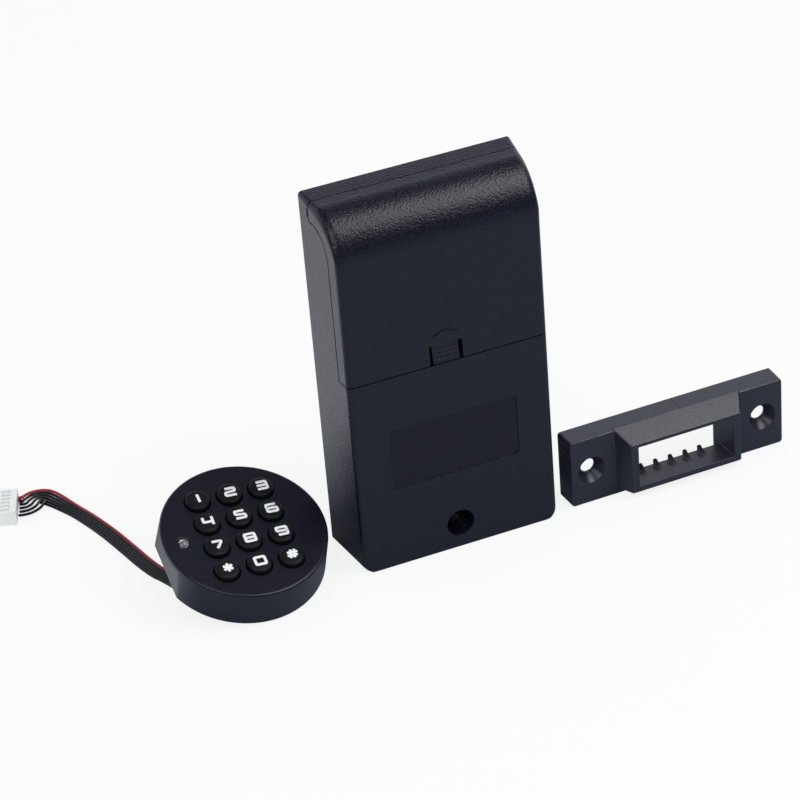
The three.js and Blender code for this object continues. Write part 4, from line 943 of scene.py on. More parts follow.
class Bench:
    """Where finished pieces are placed on the frame.

    Attributes:
        finishes: The materials.
        nodes: Object of each CAD node.
        body_of: Body of each CAD node.
        slot_of: Material slot of each CAD node.
        done: The nodes that a piece stands for, or that are dressed.
    """

    def __init__(self, frame: dict, finishes: Finishes) -> None:
        """Reads which body and slot each node has.

        Args:
            frame: The loaded frame.
            finishes: The materials.
        """
        self.finishes = finishes
        self.nodes: dict[str, bpy.types.Object] = frame["nodes"]
        self.body_of = {name: node["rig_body"] for name, node in self.nodes.items()}
        self.slot_of = {part["node"]: part["material_slot"] for part in frame["record"]["subparts"]}
        self.done: set[str] = set()

    def piece(self, name: str, solid: Solid, finish: Finish, node: str, edging: Edging = Edging(),
              matrix: Matrix | None = None) -> bpy.types.Object:
        """Places a piece that stands for a CAD node.

        Args:
            name: Name of the piece.
            solid: Its mesh in millimetres.
            finish: Its finish.
            node: The CAD node that it replaces.
            edging: How its edges are rounded.
            matrix: Its place in the frame, in millimetres, where the solid isn't there yet.

        Returns:
            The placed object.
        """
        made = self.loose(name, solid, finish, self.body_of[node], self.slot_of[node], edging, matrix)
        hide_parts(node)
        self.done.add(node)
        return made

    def loose(self, name: str, solid: Solid, finish: Finish, body: str, slot: str,
              edging: Edging = Edging(), matrix: Matrix | None = None) -> bpy.types.Object:
        """Places a piece that stands for no node of its own.

        Args:
            name: Name of the piece.
            solid: Its mesh in millimetres.
            finish: Its finish.
            body: Body that it rides on.
            slot: Material slot of the record.
            edging: How its edges are rounded.
            matrix: Its place in the frame, in millimetres.

        Returns:
            The placed object.
        """
        placed = solid if matrix is None else solid.moved(matrix)
        mesh = placed.to_mesh(name, MM)
        soften(mesh, edging)
        mesh.materials.append(self.finishes.of(finish))
        made = bpy.data.objects.new(name, mesh)
        bpy.context.scene.collection.objects.link(made)
        weighted = made.modifiers.new("even_normals", "WEIGHTED_NORMAL")
        weighted.keep_sharp = True
        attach(made, body)
        log.info("%s: %d faces on %s", name, len(mesh.polygons), body)
        return made

    def dress(self, node: str) -> None:
        """Gives a CAD node that stays its finish and smooth shading.

        Args:
            node: The node.
        """
        item = self.nodes[node]
        item.data.materials.clear()
        item.data.materials.append(self.finishes.of(SLOT_FINISHES[self.slot_of[node]]))
        for polygon in item.data.polygons:
            polygon.use_smooth = True
        item.data.set_sharp_from_angle(angle=math.radians(NODE_SMOOTH))
        log.info("%s keeps its own mesh", node)

    def refine(self, node: str, width: float) -> None:
        """Puts a copy of a CAD node in its place, with its edges rounded.

        Args:
            node: The CAD node.
            width: Width of the rounding in millimetres.
        """
        item = self.nodes[node]
        solid = Solid.from_mesh(item.data).moved(Matrix.Scale(1.0 / MM, 4) @ item.matrix_world)
        self.piece(f"{node}_soft", solid, SLOT_FINISHES[self.slot_of[node]], node, Edging(width, 2))

    def dress_rest(self) -> None:
        """Dresses every node that no piece stands for."""
        for node in sorted(set(self.nodes) - self.done):
            self.dress(node)


# Lock body


@dataclass
class LockBody:
    """The upright lock body with its battery cover and latch.

    Heights count from the body's lower end, and depths from its front face.

    Attributes:
        bench: Where its pieces are placed.
        label: Width, height, middle height and depth of the label recess.
        The others: Sizes in millimetres.
    """

    bench: Bench
    width: float = 65.0
    depth: float = 22.2
    height: float = 117.0
    wall: float = 2.0
    back_plate: float = 2.0
    side_draft: float = 1.5
    edge: float = 1.6
    corner_front: float = 3.4
    corner_back: float = 1.2
    crown_base: float = 101.0
    crown_rise: float = 15.0
    crown_depth: float = 14.0
    roof_rise: float = 1.0
    parting: float = 63.5
    partition_low: float = 60.4
    partition_top: float = 62.0
    cover_gap: float = 0.3
    skirt_depth: float = 5.75
    skirt_rise: float = 9.25
    top_parting: float = 16.35
    tray_half: float = 24.75
    label: tuple[float, float, float, float] = (40.2, 20.1, 36.0, 0.5)
    label_radius: float = 1.5
    seat_margin: float = 0.12
    seat_proud: float = 0.04
    access_height: float = 8.2
    access_radius: float = 4.25
    access_wall: float = 1.5
    bolt_low: float = 25.0
    bolt_high: float = 49.0
    bolt_front: float = 5.1
    bolt_depth: float = 8.0
    rail_inset: float = 4.5
    rail_half: float = 0.75
    motor_gap: float = 0.8
    motor_length: float = 16.5
    tail_gap: float = 4.8
    frame_overhang: float = 0.8
    frame_inset: float = 2.3
    ear_inset: float = 12.0
    ear_half: float = 3.0
    ears: tuple[float, float] = (19.55, 54.45)
    ear_boss: float = 2.5
    ear_hole: float = 1.2
    screws: tuple[Flat, ...] = ((-24.0, 8.0), (24.0, 8.0), (-27.9, 104.0), (27.9, 104.0))
    lower_screws: int = 2
    lower_boss: float = 2.6
    upper_boss: float = 2.2
    upper_boss_length: float = 8.2
    screw_hole: float = 1.3
    screw_hole_depth: float = 7.5
    tongue_gap: float = 0.6
    tongue_width: float = 3.0
    tongue_thick: float = 1.1
    tongue_reach: float = 2.4
    tongue_root: float = 3.6
    relief_width: float = 0.75
    relief_height: float = 2.6
    latch_centre: float = -0.5
    latch_width: float = 8.2
    latch_top: float = 69.8
    latch_side_room: float = 1.0
    latch_front: float = 0.1
    flange_front: float = 0.8
    flange_back: float = 2.6
    flange_top: float = 75.0
    flange_low: float = 68.3
    flange_width: float = 14.0
    cover_skin: float = 0.7
    guide_wall: float = 1.2
    guide_front: float = 3.2
    pocket_top: float = 77.0
    spring_half: float = 1.6
    stop_low: float = 79.7
    stop_half: float = 2.5
    stop_height: float = 1.2
    hook_half: float = 3.5
    hook_thick: float = 1.3
    hook_drop: float = 1.05
    hook_rise: float = 3.4
    slot_width: float = 1.0
    slot_rise: float = 0.4
    grips: int = 3
    grip_pitch: float = 1.3
    grip_half: float = 3.2
    grip_depth: float = 0.2
    grip_height: float = 0.4
    arrow_rise: float = 9.2
    arrow_half: float = 3.85
    arrow_height: float = 1.5
    arrow_line: float = 0.6
    arrow_depth: float = 0.42
    least_radius: float = 0.3
    corner_steps: int = 6
    crown_steps: int = 30
    edging: Edging = Edging(0.16, 2)
    latch_edging: Edging = Edging(0.12, 2)
    frame_left: float = field(init=False)
    frame_right: float = field(init=False)
    ear_x: float = field(init=False)

    def __post_init__(self) -> None:
        """Works out the sizes that follow from the others."""
        inner = self.half_width(self.bolt_front + self.bolt_depth / 2, self.wall)
        motor_right = -inner + self.motor_gap + self.motor_length
        self.frame_left = motor_right + self.tail_gap - self.frame_overhang
        self.frame_right = inner - self.frame_inset
        self.ear_x = inner - self.frame_inset - self.ear_inset - self.ear_half

    def y(self, depth: float) -> float:
        """Turns a depth behind the front face into the frame's Y."""
        return depth - self.depth / 2

    def half_width(self, depth: float, offset: float) -> float:
        """Half of the body's width at a depth, drawn in by an offset."""
        return self.width / 2 - self.side_draft * (1 - depth / self.depth) - offset

    def crown(self, depth: float, offset: float) -> float:
        """Height of the body's top at a depth.

        Args:
            depth: The depth.
            offset: How far the form is drawn in.

        Returns:
            The height.
        """
        if depth >= self.crown_depth:
            along = (depth - self.crown_depth) / (self.depth - self.crown_depth)
            return self.crown_base + self.crown_rise - offset + self.roof_rise * along
        across = (self.crown_depth - depth) / (self.crown_depth - offset)
        return self.crown_base + (self.crown_rise - offset) * math.sqrt(max(0.0, 1 - across * across))

    def ring(self, depth: float, offset: float, inset: float) -> list[Point]:
        """The body's section at a depth.

        Args:
            depth: The depth.
            offset: How far the form is drawn in.
            inset: How far the front edge's rounding draws it in further.

        Returns:
            The ring of points.
        """
        share = min(depth / self.depth, 1.0)
        corner = self.corner_front + (self.corner_back - self.corner_front) * share
        radius = max(corner - inset - offset, self.least_radius)
        side = self.half_width(depth, offset) - inset
        outline = rounded_outline(-side, side, offset, self.crown(depth, offset), radius, self.corner_steps)
        return [(x, self.y(depth), z) for x, z in outline]

    def form(self, offset: float, end: float) -> Solid:
        """The body's whole form.

        Args:
            offset: How far it is drawn in.
            end: Depth that it is run to.

        Returns:
            The closed form.
        """
        rounding = max(self.edge - offset, self.least_radius)
        rings = []
        for i in range(self.corner_steps + 1):
            angle = i / self.corner_steps * math.pi / 2
            rings.append(self.ring(offset + rounding * (1 - math.cos(angle)), offset,
                                   rounding * (1 - math.sin(angle))))
        for i in range(1, self.crown_steps + 1):
            angle = i / self.crown_steps * math.pi / 2
            depth = self.crown_depth - (self.crown_depth - offset) * math.cos(angle)
            if depth > offset + rounding * 1.1:
                rings.append(self.ring(depth, offset, 0.0))
        rings.append(self.ring(end, offset, 0.0))
        return loft(rings)

    def cover_zone(self, grow: float) -> Solid:
        """What the battery cover takes of the body's form.

        Args:
            grow: How far its outline is drawn in towards the cover's middle.

        Returns:
            The block, wider than the body.
        """
        low = self.parting + grow
        points = [(self.y(-OVERRUN), low), (self.y(self.skirt_depth - grow), low)]
        reach = self.crown_depth - self.skirt_depth + grow
        for i in range(self.crown_steps + 1):
            angle = i / self.crown_steps * math.pi / 2
            points.append((self.y(self.crown_depth - reach * math.cos(angle)),
                           self.crown_base + (self.skirt_rise + grow) * math.sin(angle)))
        points.append((self.y(self.top_parting - grow), self.crown_base + self.skirt_rise + grow))
        points.append((self.y(self.top_parting - grow), self.height + OVERRUN))
        points.append((self.y(-OVERRUN), self.height + OVERRUN))
        return run(Axis.X, points, -self.width, self.width)

    def build(self) -> None:
        """Builds and places every piece of the lock body."""
        shell = self.form(0.0, self.depth).cut(self.form(self.wall, self.depth + OVERRUN))
        self._housing(shell)
        self._label_seat()
        self._cover(shell)
        self._latch()

    def _housing(self, shell: Solid) -> None:
        """The box with its partition, tube, bosses and rails.

        Args:
            shell: The body's hollow form, with the cover still on it.
        """
        inner_back = self.depth - self.back_plate
        inner = self.form(BOND, self.depth)
        side = self.half_width(inner_back, self.wall)
        solid = shell.cut(self.cover_zone(-self.cover_gap / 2))
        front = self.y(self.wall - BOND)
        solid = solid.add(box((-side, front, self.partition_low),
                              (side, self.y(inner_back - GAP), self.partition_top)).common(inner))
        solid = solid.add(rod(Axis.Y, (0, front, self.access_height),
                              inner_back - GAP - self.wall + BOND,
                              self.access_radius + self.access_wall, sides=64))
        frame_front = self.y(self.bolt_front) + self.bolt_depth + GAP
        for z in self.ears:
            solid = solid.add(rod(Axis.Y, (self.ear_x, front, z), frame_front - front, self.ear_boss))
        for z in (self.bolt_low + self.rail_inset, self.bolt_high - self.rail_inset):
            rail = box((self.frame_left, front, z - self.rail_half),
                       (self.frame_right, self.y(self.bolt_front) - GAP, z + self.rail_half))
            solid = solid.add(rail)
        for i, (x, z) in enumerate(self.screws):
            lower = i < self.lower_screws
            start = self.wall - BOND if lower else inner_back - self.upper_boss_length
            boss = rod(Axis.Y, (x, self.y(start), z), inner_back - start,
                       self.lower_boss if lower else self.upper_boss)
            solid = solid.add(boss.common(inner))
        holes = self._holes(inner_back, frame_front, side)
        solid = solid.cut(holes[0].beside(*holes[1:])).cut(self._label_form(0.0, -OVERRUN, self.label[3]))
        self.bench.piece("lock_box", solid, Finishes.SHELL, "housing", self.edging)

    def _holes(self, inner_back: float, frame_front: float, side: float) -> list[Solid]:
        """What is cut from the box: screw holes, access hole, bolt window and two reliefs.

        Args:
            inner_back: Depth of the back plate's inner face.
            frame_front: Place of the bolt frame's front along Y.
            side: Half of the room's width at the back plate.

        Returns:
            The solids to cut, which don't meet.
        """
        deep, length = self.screw_hole_depth, self.screw_hole_depth + OVERRUN
        holes = [rod(Axis.Y, (x, self.y(inner_back) - deep, z), length, self.screw_hole)
                 for x, z in self.screws]
        holes += [rod(Axis.Y, (self.ear_x, frame_front - deep, z), length, self.ear_hole)
                  for z in self.ears]
        holes.append(rod(Axis.Y, (0, self.y(-OVERRUN), self.access_height), self.depth,
                         self.access_radius, sides=64))
        bolt_back = self.y(self.bolt_front + self.bolt_depth)
        holes.append(box((side - OVERRUN - self.wall, self.y(self.bolt_front) - GAP, self.bolt_low - GAP),
                         (self.width, bolt_back + GAP, self.bolt_high + GAP)))
        relief = self.crown(self.top_parting, self.wall) - GAP
        near = self.half_width(self.top_parting, self.wall) - OVERRUN
        for end in (-1, 1):
            left, right = sorted((end * near, end * self.width))
            holes.append(box((left, self.y(self.top_parting - OVERRUN), relief - self.relief_height),
                             (right, self.y(self.top_parting + self.relief_width), relief)))
        return holes

    def _label_form(self, margin: float, start: float, stop: float) -> Solid:
        """A plate of the label recess's outline.

        Args:
            margin: How far it is drawn in all round.
            start: Depth of its front.
            stop: Depth of its back.

        Returns:
            The closed plate.
        """
        wide, high, middle, _ = self.label
        outline = rounded_outline(margin - wide / 2, wide / 2 - margin, middle - high / 2 + margin,
                                  middle + high / 2 - margin, self.label_radius - margin,
                                  self.corner_steps)
        return run(Axis.Y, outline, self.y(start), self.y(stop))

    def _label_seat(self) -> None:
        """The polished floor of the label recess."""
        deep = self.label[3]
        seat = self._label_form(self.seat_margin, deep - self.seat_proud, deep + BOND)
        self.bench.loose("label_seat", seat, Finishes.SEAT, self.bench.body_of["housing"],
                         self.bench.slot_of["housing"], Edging(0.0))

    def _cover(self, shell: Solid) -> None:
        """The battery cover with its tongues, latch guides and arrow.

        Args:
            shell: The body's hollow form, with the box still on it.
        """
        solid = shell.common(self.cover_zone(self.cover_gap / 2))
        solid = solid.add(*self._tongues())
        x, half = self.latch_centre, self.flange_width / 2 + GAP
        front, lip_front = self.y(self.wall - BOND), self.y(self.guide_front)
        guide_back = lip_front + self.guide_wall
        for side in (-1, 1):
            near = x + side * half
            far = near + side * self.guide_wall
            lip = near - side * self.guide_wall
            for first, second, start in ((near, far, front), (lip, far, lip_front)):
                solid = solid.add(box((min(first, second), start, self.flange_low - GAP),
                                      (max(first, second), guide_back, self.pocket_top)))
        solid = solid.add(box((x - self.stop_half, front, self.stop_low),
                              (x + self.stop_half, guide_back, self.stop_low + self.stop_height)))
        window = self.latch_width / 2 + self.latch_side_room
        skin, back = self.y(self.cover_skin), self.y(self.wall + BOND)
        solid = solid.cut(box((x - window, self.y(-OVERRUN), self.parting - OVERRUN),
                              (x + window, self.y(self.wall + OVERRUN), self.latch_top)),
                          box((x - half, skin, self.flange_low - GAP), (x + half, back, self.pocket_top)),
                          box((x - self.spring_half, skin, self.pocket_top - OVERRUN),
                              (x + self.spring_half, back, self.stop_low)),
                          self._arrow())
        self.bench.piece("cover_panel", solid, Finishes.SHELL, "battery_cover", self.edging)

    def _tongues(self) -> list[Solid]:
        """The tongues that reach from the cover under the box's roof, each with its root.

        Returns:
            The solids to add, in order.
        """
        roof = self.crown(self.top_parting, self.wall)
        top = roof - 2 * GAP
        front, low = self.y(self.top_parting - self.tongue_root), top - self.tongue_thick
        inner = self.form(BOND, self.depth)
        parts = []
        for side in (-1, 1):
            middle = side * (self.tray_half + self.tongue_gap + self.tongue_width / 2)
            left = middle - self.tongue_width / 2
            right = left + self.tongue_width
            parts.append(box((left, front, low),
                             (right, self.y(self.top_parting + self.tongue_reach), top)))
            root = box((left, front, low),
                       (right, self.y(self.top_parting - self.cover_gap / 2), roof + BOND))
            parts.append(root.common(inner))
        return parts

    def _arrow(self) -> Solid:
        """The arrow pressed into the cover above its latch.

        Returns:
            The solid to cut.
        """
        low, half = self.parting + self.arrow_rise, self.arrow_half
        rise, line = self.arrow_height, self.arrow_line
        x = self.latch_centre
        outline = [(x - half, low), (x, low + rise), (x + half, low), (x + half, low + line),
                   (x, low + rise + line), (x - half, low + line)]
        return run(Axis.Y, outline, self.y(-OVERRUN), self.y(self.arrow_depth))

    def _latch(self) -> None:
        """The sliding latch: a wedge for the thumb, with a flange under the cover and a hook."""
        face, back = self.y(self.flange_front), self.y(self.flange_back)
        low = self.parting + self.cover_gap / 2
        x, half = self.latch_centre, self.latch_width / 2
        wedge = [(self.y(self.latch_front), low), (face, self.flange_low - BOND),
                 (face, self.flange_low + OVERRUN), (back, self.flange_low + OVERRUN), (back, low)]
        solid = run(Axis.X, wedge, x - half, x + half)
        flange = box((x - self.flange_width / 2, face, self.flange_low),
                     (x + self.flange_width / 2, back, self.flange_top))
        slot = self.slot_width / 2
        notches = [box((x + side * (half + slot) - slot, self.y(-OVERRUN), self.flange_low - OVERRUN),
                       (x + side * (half + slot) + slot, back + OVERRUN, self.latch_top + self.slot_rise))
                   for side in (-1, 1)]
        solid = solid.add(flange.cut(*notches))
        hook, rim = self.y(self.wall + GAP), self.parting - self.cover_gap / 2
        solid = solid.add(box((x - self.hook_half, hook, rim - self.hook_drop),
                              (x + self.hook_half, hook + self.hook_thick, low + self.hook_rise)))
        slope = self.flange_front - self.latch_front
        for i in range(self.grips):
            z = low + self.grip_pitch * (i + 1)
            front = self.y(self.latch_front + slope * (z - low) / (self.flange_low - BOND - low))
            solid = solid.cut(box((x - self.grip_half, self.y(-OVERRUN), z),
                                  (x + self.grip_half, front + self.grip_depth, z + self.grip_height)))
        self.bench.piece("latch_tab", solid, Finishes.SHELL, "cover_latch", self.latch_edging)


# Battery bay


@dataclass
class BatteryBay:
    """Four round cells with their contact springs, and the latch's spring.

    Attributes:
        bench: Where its pieces are placed.
        can: Radius and height of the wrap's points, from the flat end up to the band.
        collar: How far the band's points lie inside the can and below its shoulder.
        foot: Radius and height of the flat end's points.
        button: Radius of the button end's points, and their height above the shoulder.
        cap: Radius of the button's points, and their height below its top.
        latch_at: Where the latch's spring stands.
        squeeze: Share of the latch's spring that is left when the latch is pushed up; not used.
        The others: Sizes in millimetres, and counts.
    """

    bench: Bench
    cells: int = 4
    radius: float = 5.25
    shoulder: float = 43.7
    length: float = 44.5
    pitch: float = 12.0
    low: float = 63.6
    axis_y: float = 1.0
    room: float = 2.9
    band: float = 33.0
    can: tuple[Flat, ...] = ((3.9, 0.25), (3.95, 0.0), (4.7, 0.0), (5.1, 0.15), (5.25, 0.5))
    collar: tuple[Flat, ...] = ((0.0, 0.5), (0.15, 0.15), (0.55, 0.0), (1.3, 0.0), (1.35, 0.3))
    foot: tuple[Flat, ...] = ((2.4, 0.06), (2.6, 0.18), (3.3, 0.18), (3.5, 0.05), (4.1, 0.05),
                              (4.1, 0.3))
    button: tuple[Flat, ...] = ((4.1, -0.5), (4.1, -0.2), (2.3, -0.1), (1.9, 0.0))
    cap: tuple[Flat, ...] = ((1.85, 0.2), (1.65, 0.0), (1.0, 0.0))
    sides: int = 48
    spring_radius: float = 2.6
    spring_wire: float = 0.5
    spring_turns: float = 3.2
    spring_spread: float = -0.9
    wire_sides: int = 10
    latch_at: Point = (-0.5, -9.0, 75.3)
    latch_rise: float = 4.1
    latch_radius: float = 0.95
    latch_wire: float = 0.35
    latch_turns: float = 4.0
    squeeze: float = 0.61

    def build(self) -> None:
        """Builds and places the cells and every spring of the bay."""
        for i in range(self.cells):
            x = (i - (self.cells - 1) / 2) * self.pitch
            upright = i % 2 == 0
            self._cell(i + 1, x, self.low + (self.room if upright else 0.0), upright)
            self._contact(i + 1, x, self.low if upright else self.low + self.length, upright)
        self._latch_spring()

    def _cell(self, number: int, x: float, low: float, upright: bool) -> None:
        """One cell: its wrapped can, a pale band, and a metal face at each end.

        Args:
            number: Number of the cell.
            x: Its middle.
            low: Height of its lower end.
            upright: Whether its button points up.
        """
        node = f"battery_{number}"
        body, slot = self.bench.body_of[node], self.bench.slot_of[node]
        place = Matrix.Translation((x, self.axis_y, low))
        if not upright:
            place = place @ Matrix.Translation((0, 0, self.length)) @ Matrix.Rotation(math.pi, 4, "X")
        edge = (self.radius, self.band)
        collar = [(self.radius - inside, self.shoulder - below) for inside, below in self.collar]
        button = [(radius, self.shoulder + above) for radius, above in self.button]
        button += [(radius, self.length - below) for radius, below in self.cap]
        self.bench.piece(f"cell_{number}_wrap", lathe([*self.can, edge], self.sides), Finishes.WRAP,
                         node, Edging(0.0), place)
        for name, profile, finish in (("band", [edge, *collar], Finishes.WRAP_BAND),
                                      ("foot", self.foot, Finishes.STEEL),
                                      ("button", button, Finishes.STEEL)):
            self.bench.loose(f"cell_{number}_{name}", lathe(profile, self.sides), finish, body, slot,
                             Edging(0.0), place)

    def _contact(self, number: int, x: float, low: float, upright: bool) -> None:
        """The contact spring at a cell's flat end, wider at the contact plate.

        Args:
            number: Number of the cell.
            x: Its middle.
            low: Lower end of the room for the spring.
            upright: Whether the cell's button points up.
        """
        clear = GAP / 2
        climb = (self.room - 2 * clear - self.spring_wire) / self.spring_turns
        line = coil_line(self.spring_radius, self.spring_wire, climb, self.spring_turns,
                         self.spring_spread)
        wound = tube(line, self.spring_wire / 2, self.wire_sides)
        place = Matrix.Translation((x, self.axis_y, low + clear))
        if not upright:
            place = Matrix.Translation((x, self.axis_y, low + self.room - clear))
            place = place @ Matrix.Rotation(math.pi, 4, "X")
        self.bench.piece(f"contact_coil_{number}", wound, Finishes.STEEL, f"contact_spring_{number}",
                         Edging(0.0), place)

    def _latch_spring(self) -> None:
        """The small spring that holds the latch down."""
        climb = (self.latch_rise - self.latch_wire) / self.latch_turns
        line = coil_line(self.latch_radius, self.latch_wire, climb, self.latch_turns)
        wound = tube(line, self.latch_wire / 2, self.wire_sides)
        made = self.bench.piece("latch_coil", wound, Finishes.STEEL, "latch_spring", Edging(0.0),
                                Matrix.Translation(self.latch_at))
        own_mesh(made)


# Keypad


class Legend(Enum):
    """Strokes of each sign on the keys, in a field 2 wide and 2 high about its middle."""

    ONE = ("key_1", (((0.0, 1.0), (0.05, -1.0)),))
    TWO = ("key_2", (((-0.72, 1.0), (1.0, 1.0), (1.0, 0.1), (-1.0, -0.1), (-1.0, -1.0),
                      (1.0, -1.0)),))
    THREE = ("key_3", (((-0.8, 1.0), (1.0, 1.0), (1.0, -1.0), (-0.9, -1.0)),
                       ((-0.85, 0.0), (1.0, 0.0))))
    FOUR = ("key_4", (((-0.9, 1.0), (-0.95, -0.22), (0.95, -0.22)),
                      ((0.92, 1.0), (0.86, -1.0))))
    FIVE = ("key_5", (((0.85, 1.0), (-0.9, 1.0), (-0.9, 0.1), (1.0, -0.1), (1.0, -1.0),
                       (-0.9, -1.0)),))
    SIX = ("key_6", (((0.8, 1.0), (-1.0, 1.0), (-1.0, -1.0), (1.0, -1.0), (1.0, 0.0),
                      (-1.0, 0.0)),))
    SEVEN = ("key_7", (((-0.95, 0.85), (0.95, 0.85), (-0.25, -1.0)),))
    EIGHT = ("key_8", (((-1.0, 1.0), (1.0, 1.0), (1.0, -1.0), (-1.0, -1.0), (-1.0, 1.0)),
                       ((-1.0, 0.0), (1.0, 0.0))))
    NINE = ("key_9", (((-0.8, -1.0), (1.0, -1.0), (1.0, 1.0), (-1.0, 1.0), (-1.0, 0.0),
                       (1.0, 0.0)),))
    ZERO = ("key_0", (((-1.0, 1.0), (1.0, 1.0), (1.0, -1.0), (-1.0, -1.0), (-1.0, 1.0)),))
    STAR = ("key_star", (((0.0, 1.0), (0.0, -1.0)), ((-0.78, 0.5), (0.78, -0.5)),
                         ((-0.78, -0.5), (0.78, 0.5))))
    HASH = ("key_hash", (((-0.12, 1.0), (-0.55, -1.0)), ((0.62, 1.0), (0.2, -1.0)),
                         ((-0.85, 0.42), (1.0, 0.42)), ((-0.95, -0.4), (0.85, -0.4))))

    @property
    def node(self) -> str:
        """The CAD node of the key."""
        return self.value[0]

    @property
    def strokes(self) -> tuple[tuple[Flat, ...], ...]:
        """The sign's strokes."""
        return self.value[1]


@dataclass
class Keypad:
    """The round keypad, built level and then laid on its lower rim and its posts.

    Attributes:
        bench: Where its pieces are placed.
        lamp: Middle of the status lamp on the face.
        lamp_ring: Radii of the dish round the lamp, at its floor and past the face.
        lamp_cup: Radius of the points of the lamp's metal cup, and their depth below its top.
        print_shift: How far the signs stand off the middle of their keys, on both axes.
        heading: Direction of the keypad's lean, and spin its turn about its own axis.
        The others: Sizes in millimetres, and counts.
    """

    bench: Bench
    x: float = -63.34
    y: float = 4.65
    radius: float = 25.0
    top_radius: float = 24.5
    height: float = 11.8
    edge: float = 0.8
    wall: float = 2.2
    face: float = 1.8
    flat: float = 22.95
    flat_lip: float = 1.5
    flat_wall: float = 1.8
    post_length: float = 7.65
    post_radius: float = 3.5
    boss_ring: float = 20.2
    boss_angles: tuple[float, ...] = (-30.0, 90.0, 210.0)
    boss_low: float = 2.0
    boss_radius: float = 2.1
    boss_hole: float = 1.2
    boss_hole_top: float = 6.8
    key_diameter: float = 7.4
    key_gap: float = 0.3
    key_proud: float = 1.5
    key_round: float = 0.95
    key_round_steps: int = 7
    key_crown: float = 0.08
    key_low: float = 4.9
    flange_low: float = 8.5
    flange_high: float = 9.6
    flange_reach: float = 0.25
    stem_inset: float = 0.4
    column: float = 9.75
    row: float = 8.85
    print_shift: float = 0.2
    print_sunk: float = 0.05
    lamp: Flat = (-18.4, -0.2)
    lamp_radius: float = 1.5
    lamp_proud: float = 0.6
    lamp_low: float = 3.9
    lamp_ring: Flat = (1.95, 3.1)
    lamp_ring_depth: float = 0.4
    lamp_cup: tuple[Flat, ...] = ((0.35, 2.4), (1.1, 2.4), (1.15, 1.3), (1.0, 1.3), (0.45, 1.9),
                                  (0.4, 1.75), (0.35, 1.7))
    heading: float = math.radians(-77.1)
    spin: float = math.radians(-1.58)
    sides: int = 144
    rim_steps: int = 6
    dome_steps: int = 10

    @property
    def place(self) -> Matrix:
        """The keypad's place in the frame.

        Returns:
            The transform, in millimetres.
        """
        lean = math.atan2(self.post_length, self.radius - self.post_radius)
        axis = Vector((-math.sin(self.heading), math.cos(self.heading), 0))
        turn = Matrix.Rotation(lean, 4, axis) @ Matrix.Rotation(self.spin, 4, "Z")
        return Matrix.Translation((self.x, self.y, self.radius * math.sin(lean))) @ turn

    def centres(self) -> dict[str, Flat]:
        """Middle of each key on the face.

        Returns:
            The middles, by the key's CAD node.
        """
        names = [["key_1", "key_2", "key_3"], ["key_4", "key_5", "key_6"],
                 ["key_7", "key_8", "key_9"], ["key_star", "key_0", "key_hash"]]
        return {name: ((c - 1) * self.column, (1.5 - r) * self.row)
                for r, line in enumerate(names) for c, name in enumerate(line)}

    def build(self) -> None:
        """Builds and places every piece of the keypad."""
        self._case()
        self._keys()
        self._lamp()

    def _case(self) -> None:
        """The round case with its flat, key holes and lamp ring."""
        rim = shoulder(self.top_radius, self.height, self.edge, self.rim_steps)
        solid = lathe([(self.radius, 0.0), *rim], self.sides)
        flat = box((-2 * self.radius, -self.radius, -OVERRUN),
                   (-self.flat, self.radius, self.height - self.flat_lip))
        solid = solid.cut(flat)
        low = self.height - self.face
        room = rod(Axis.Z, (0, 0, -OVERRUN), low + OVERRUN, self.radius - self.wall, sides=self.sides)
        room = room.cut(box((-2 * self.radius, -self.radius, -3 * OVERRUN),
                            (-(self.flat - self.flat_wall), self.radius, self.height)))
        solid = solid.cut(room)
        for degrees in self.boss_angles:
            angle = math.radians(degrees)
            x, y = self.boss_ring * math.cos(angle), self.boss_ring * math.sin(angle)
            solid = solid.add(rod(Axis.Z, (x, y, self.boss_low), low + BOND - self.boss_low,
                                  self.boss_radius))
            solid = solid.cut(rod(Axis.Z, (x, y, 0.0), self.boss_hole_top, self.boss_hole))
        hole = self.key_diameter / 2 + self.key_gap
        holes = [rod(Axis.Z, (x, y, low - OVERRUN), self.face + 2 * OVERRUN, hole, sides=56)
                 for x, y in self.centres().values()]
        holes.append(rod(Axis.Z, (*self.lamp, low - OVERRUN), self.face + 2 * OVERRUN,
                         self.lamp_radius + GAP))
        solid = solid.cut(holes[0].beside(*holes[1:]))
        solid = solid.cut(rod(Axis.Z, (*self.lamp, self.height - self.lamp_ring_depth), OVERRUN,
                              *self.lamp_ring))
        self.bench.piece("keypad_case", solid, Finishes.KEYPAD, "keypad_housing", Edging(0.12, 2),
                         self.place)

    def _keys(self) -> None:
        """The twelve rubber keys and the signs printed on them."""
        top = self.height + self.key_proud
        radius = self.key_diameter / 2
        stem, flange = radius - self.stem_inset, radius + self.key_gap + self.flange_reach
        profile = [(stem, self.key_low), (stem, self.flange_low), (flange, self.flange_low),
                   (flange, self.flange_high), (radius, self.flange_high)]
        profile += shoulder(radius, top - self.key_crown, self.key_round, self.key_round_steps)
        profile += [(radius * 0.45, top - 0.02), (0.4, top)]
        centres = self.centres()
        for sign in Legend:
            x, y = centres[sign.node]
            label = sign.node.removeprefix("key_")
            self.bench.piece(f"button_{label}", lathe(profile, 64).shifted(x, y, 0), Finishes.RUBBER,
                             sign.node, Edging(0.0), self.place)
            printed = self._sign(sign.strokes).shifted(x + self.print_shift, y + self.print_shift,
                                                       top - self.print_sunk)
            self.bench.loose(f"legend_{label}", printed, Finishes.LEGEND,
                             self.bench.body_of[sign.node], "key_rubber", Edging(0.0), self.place)

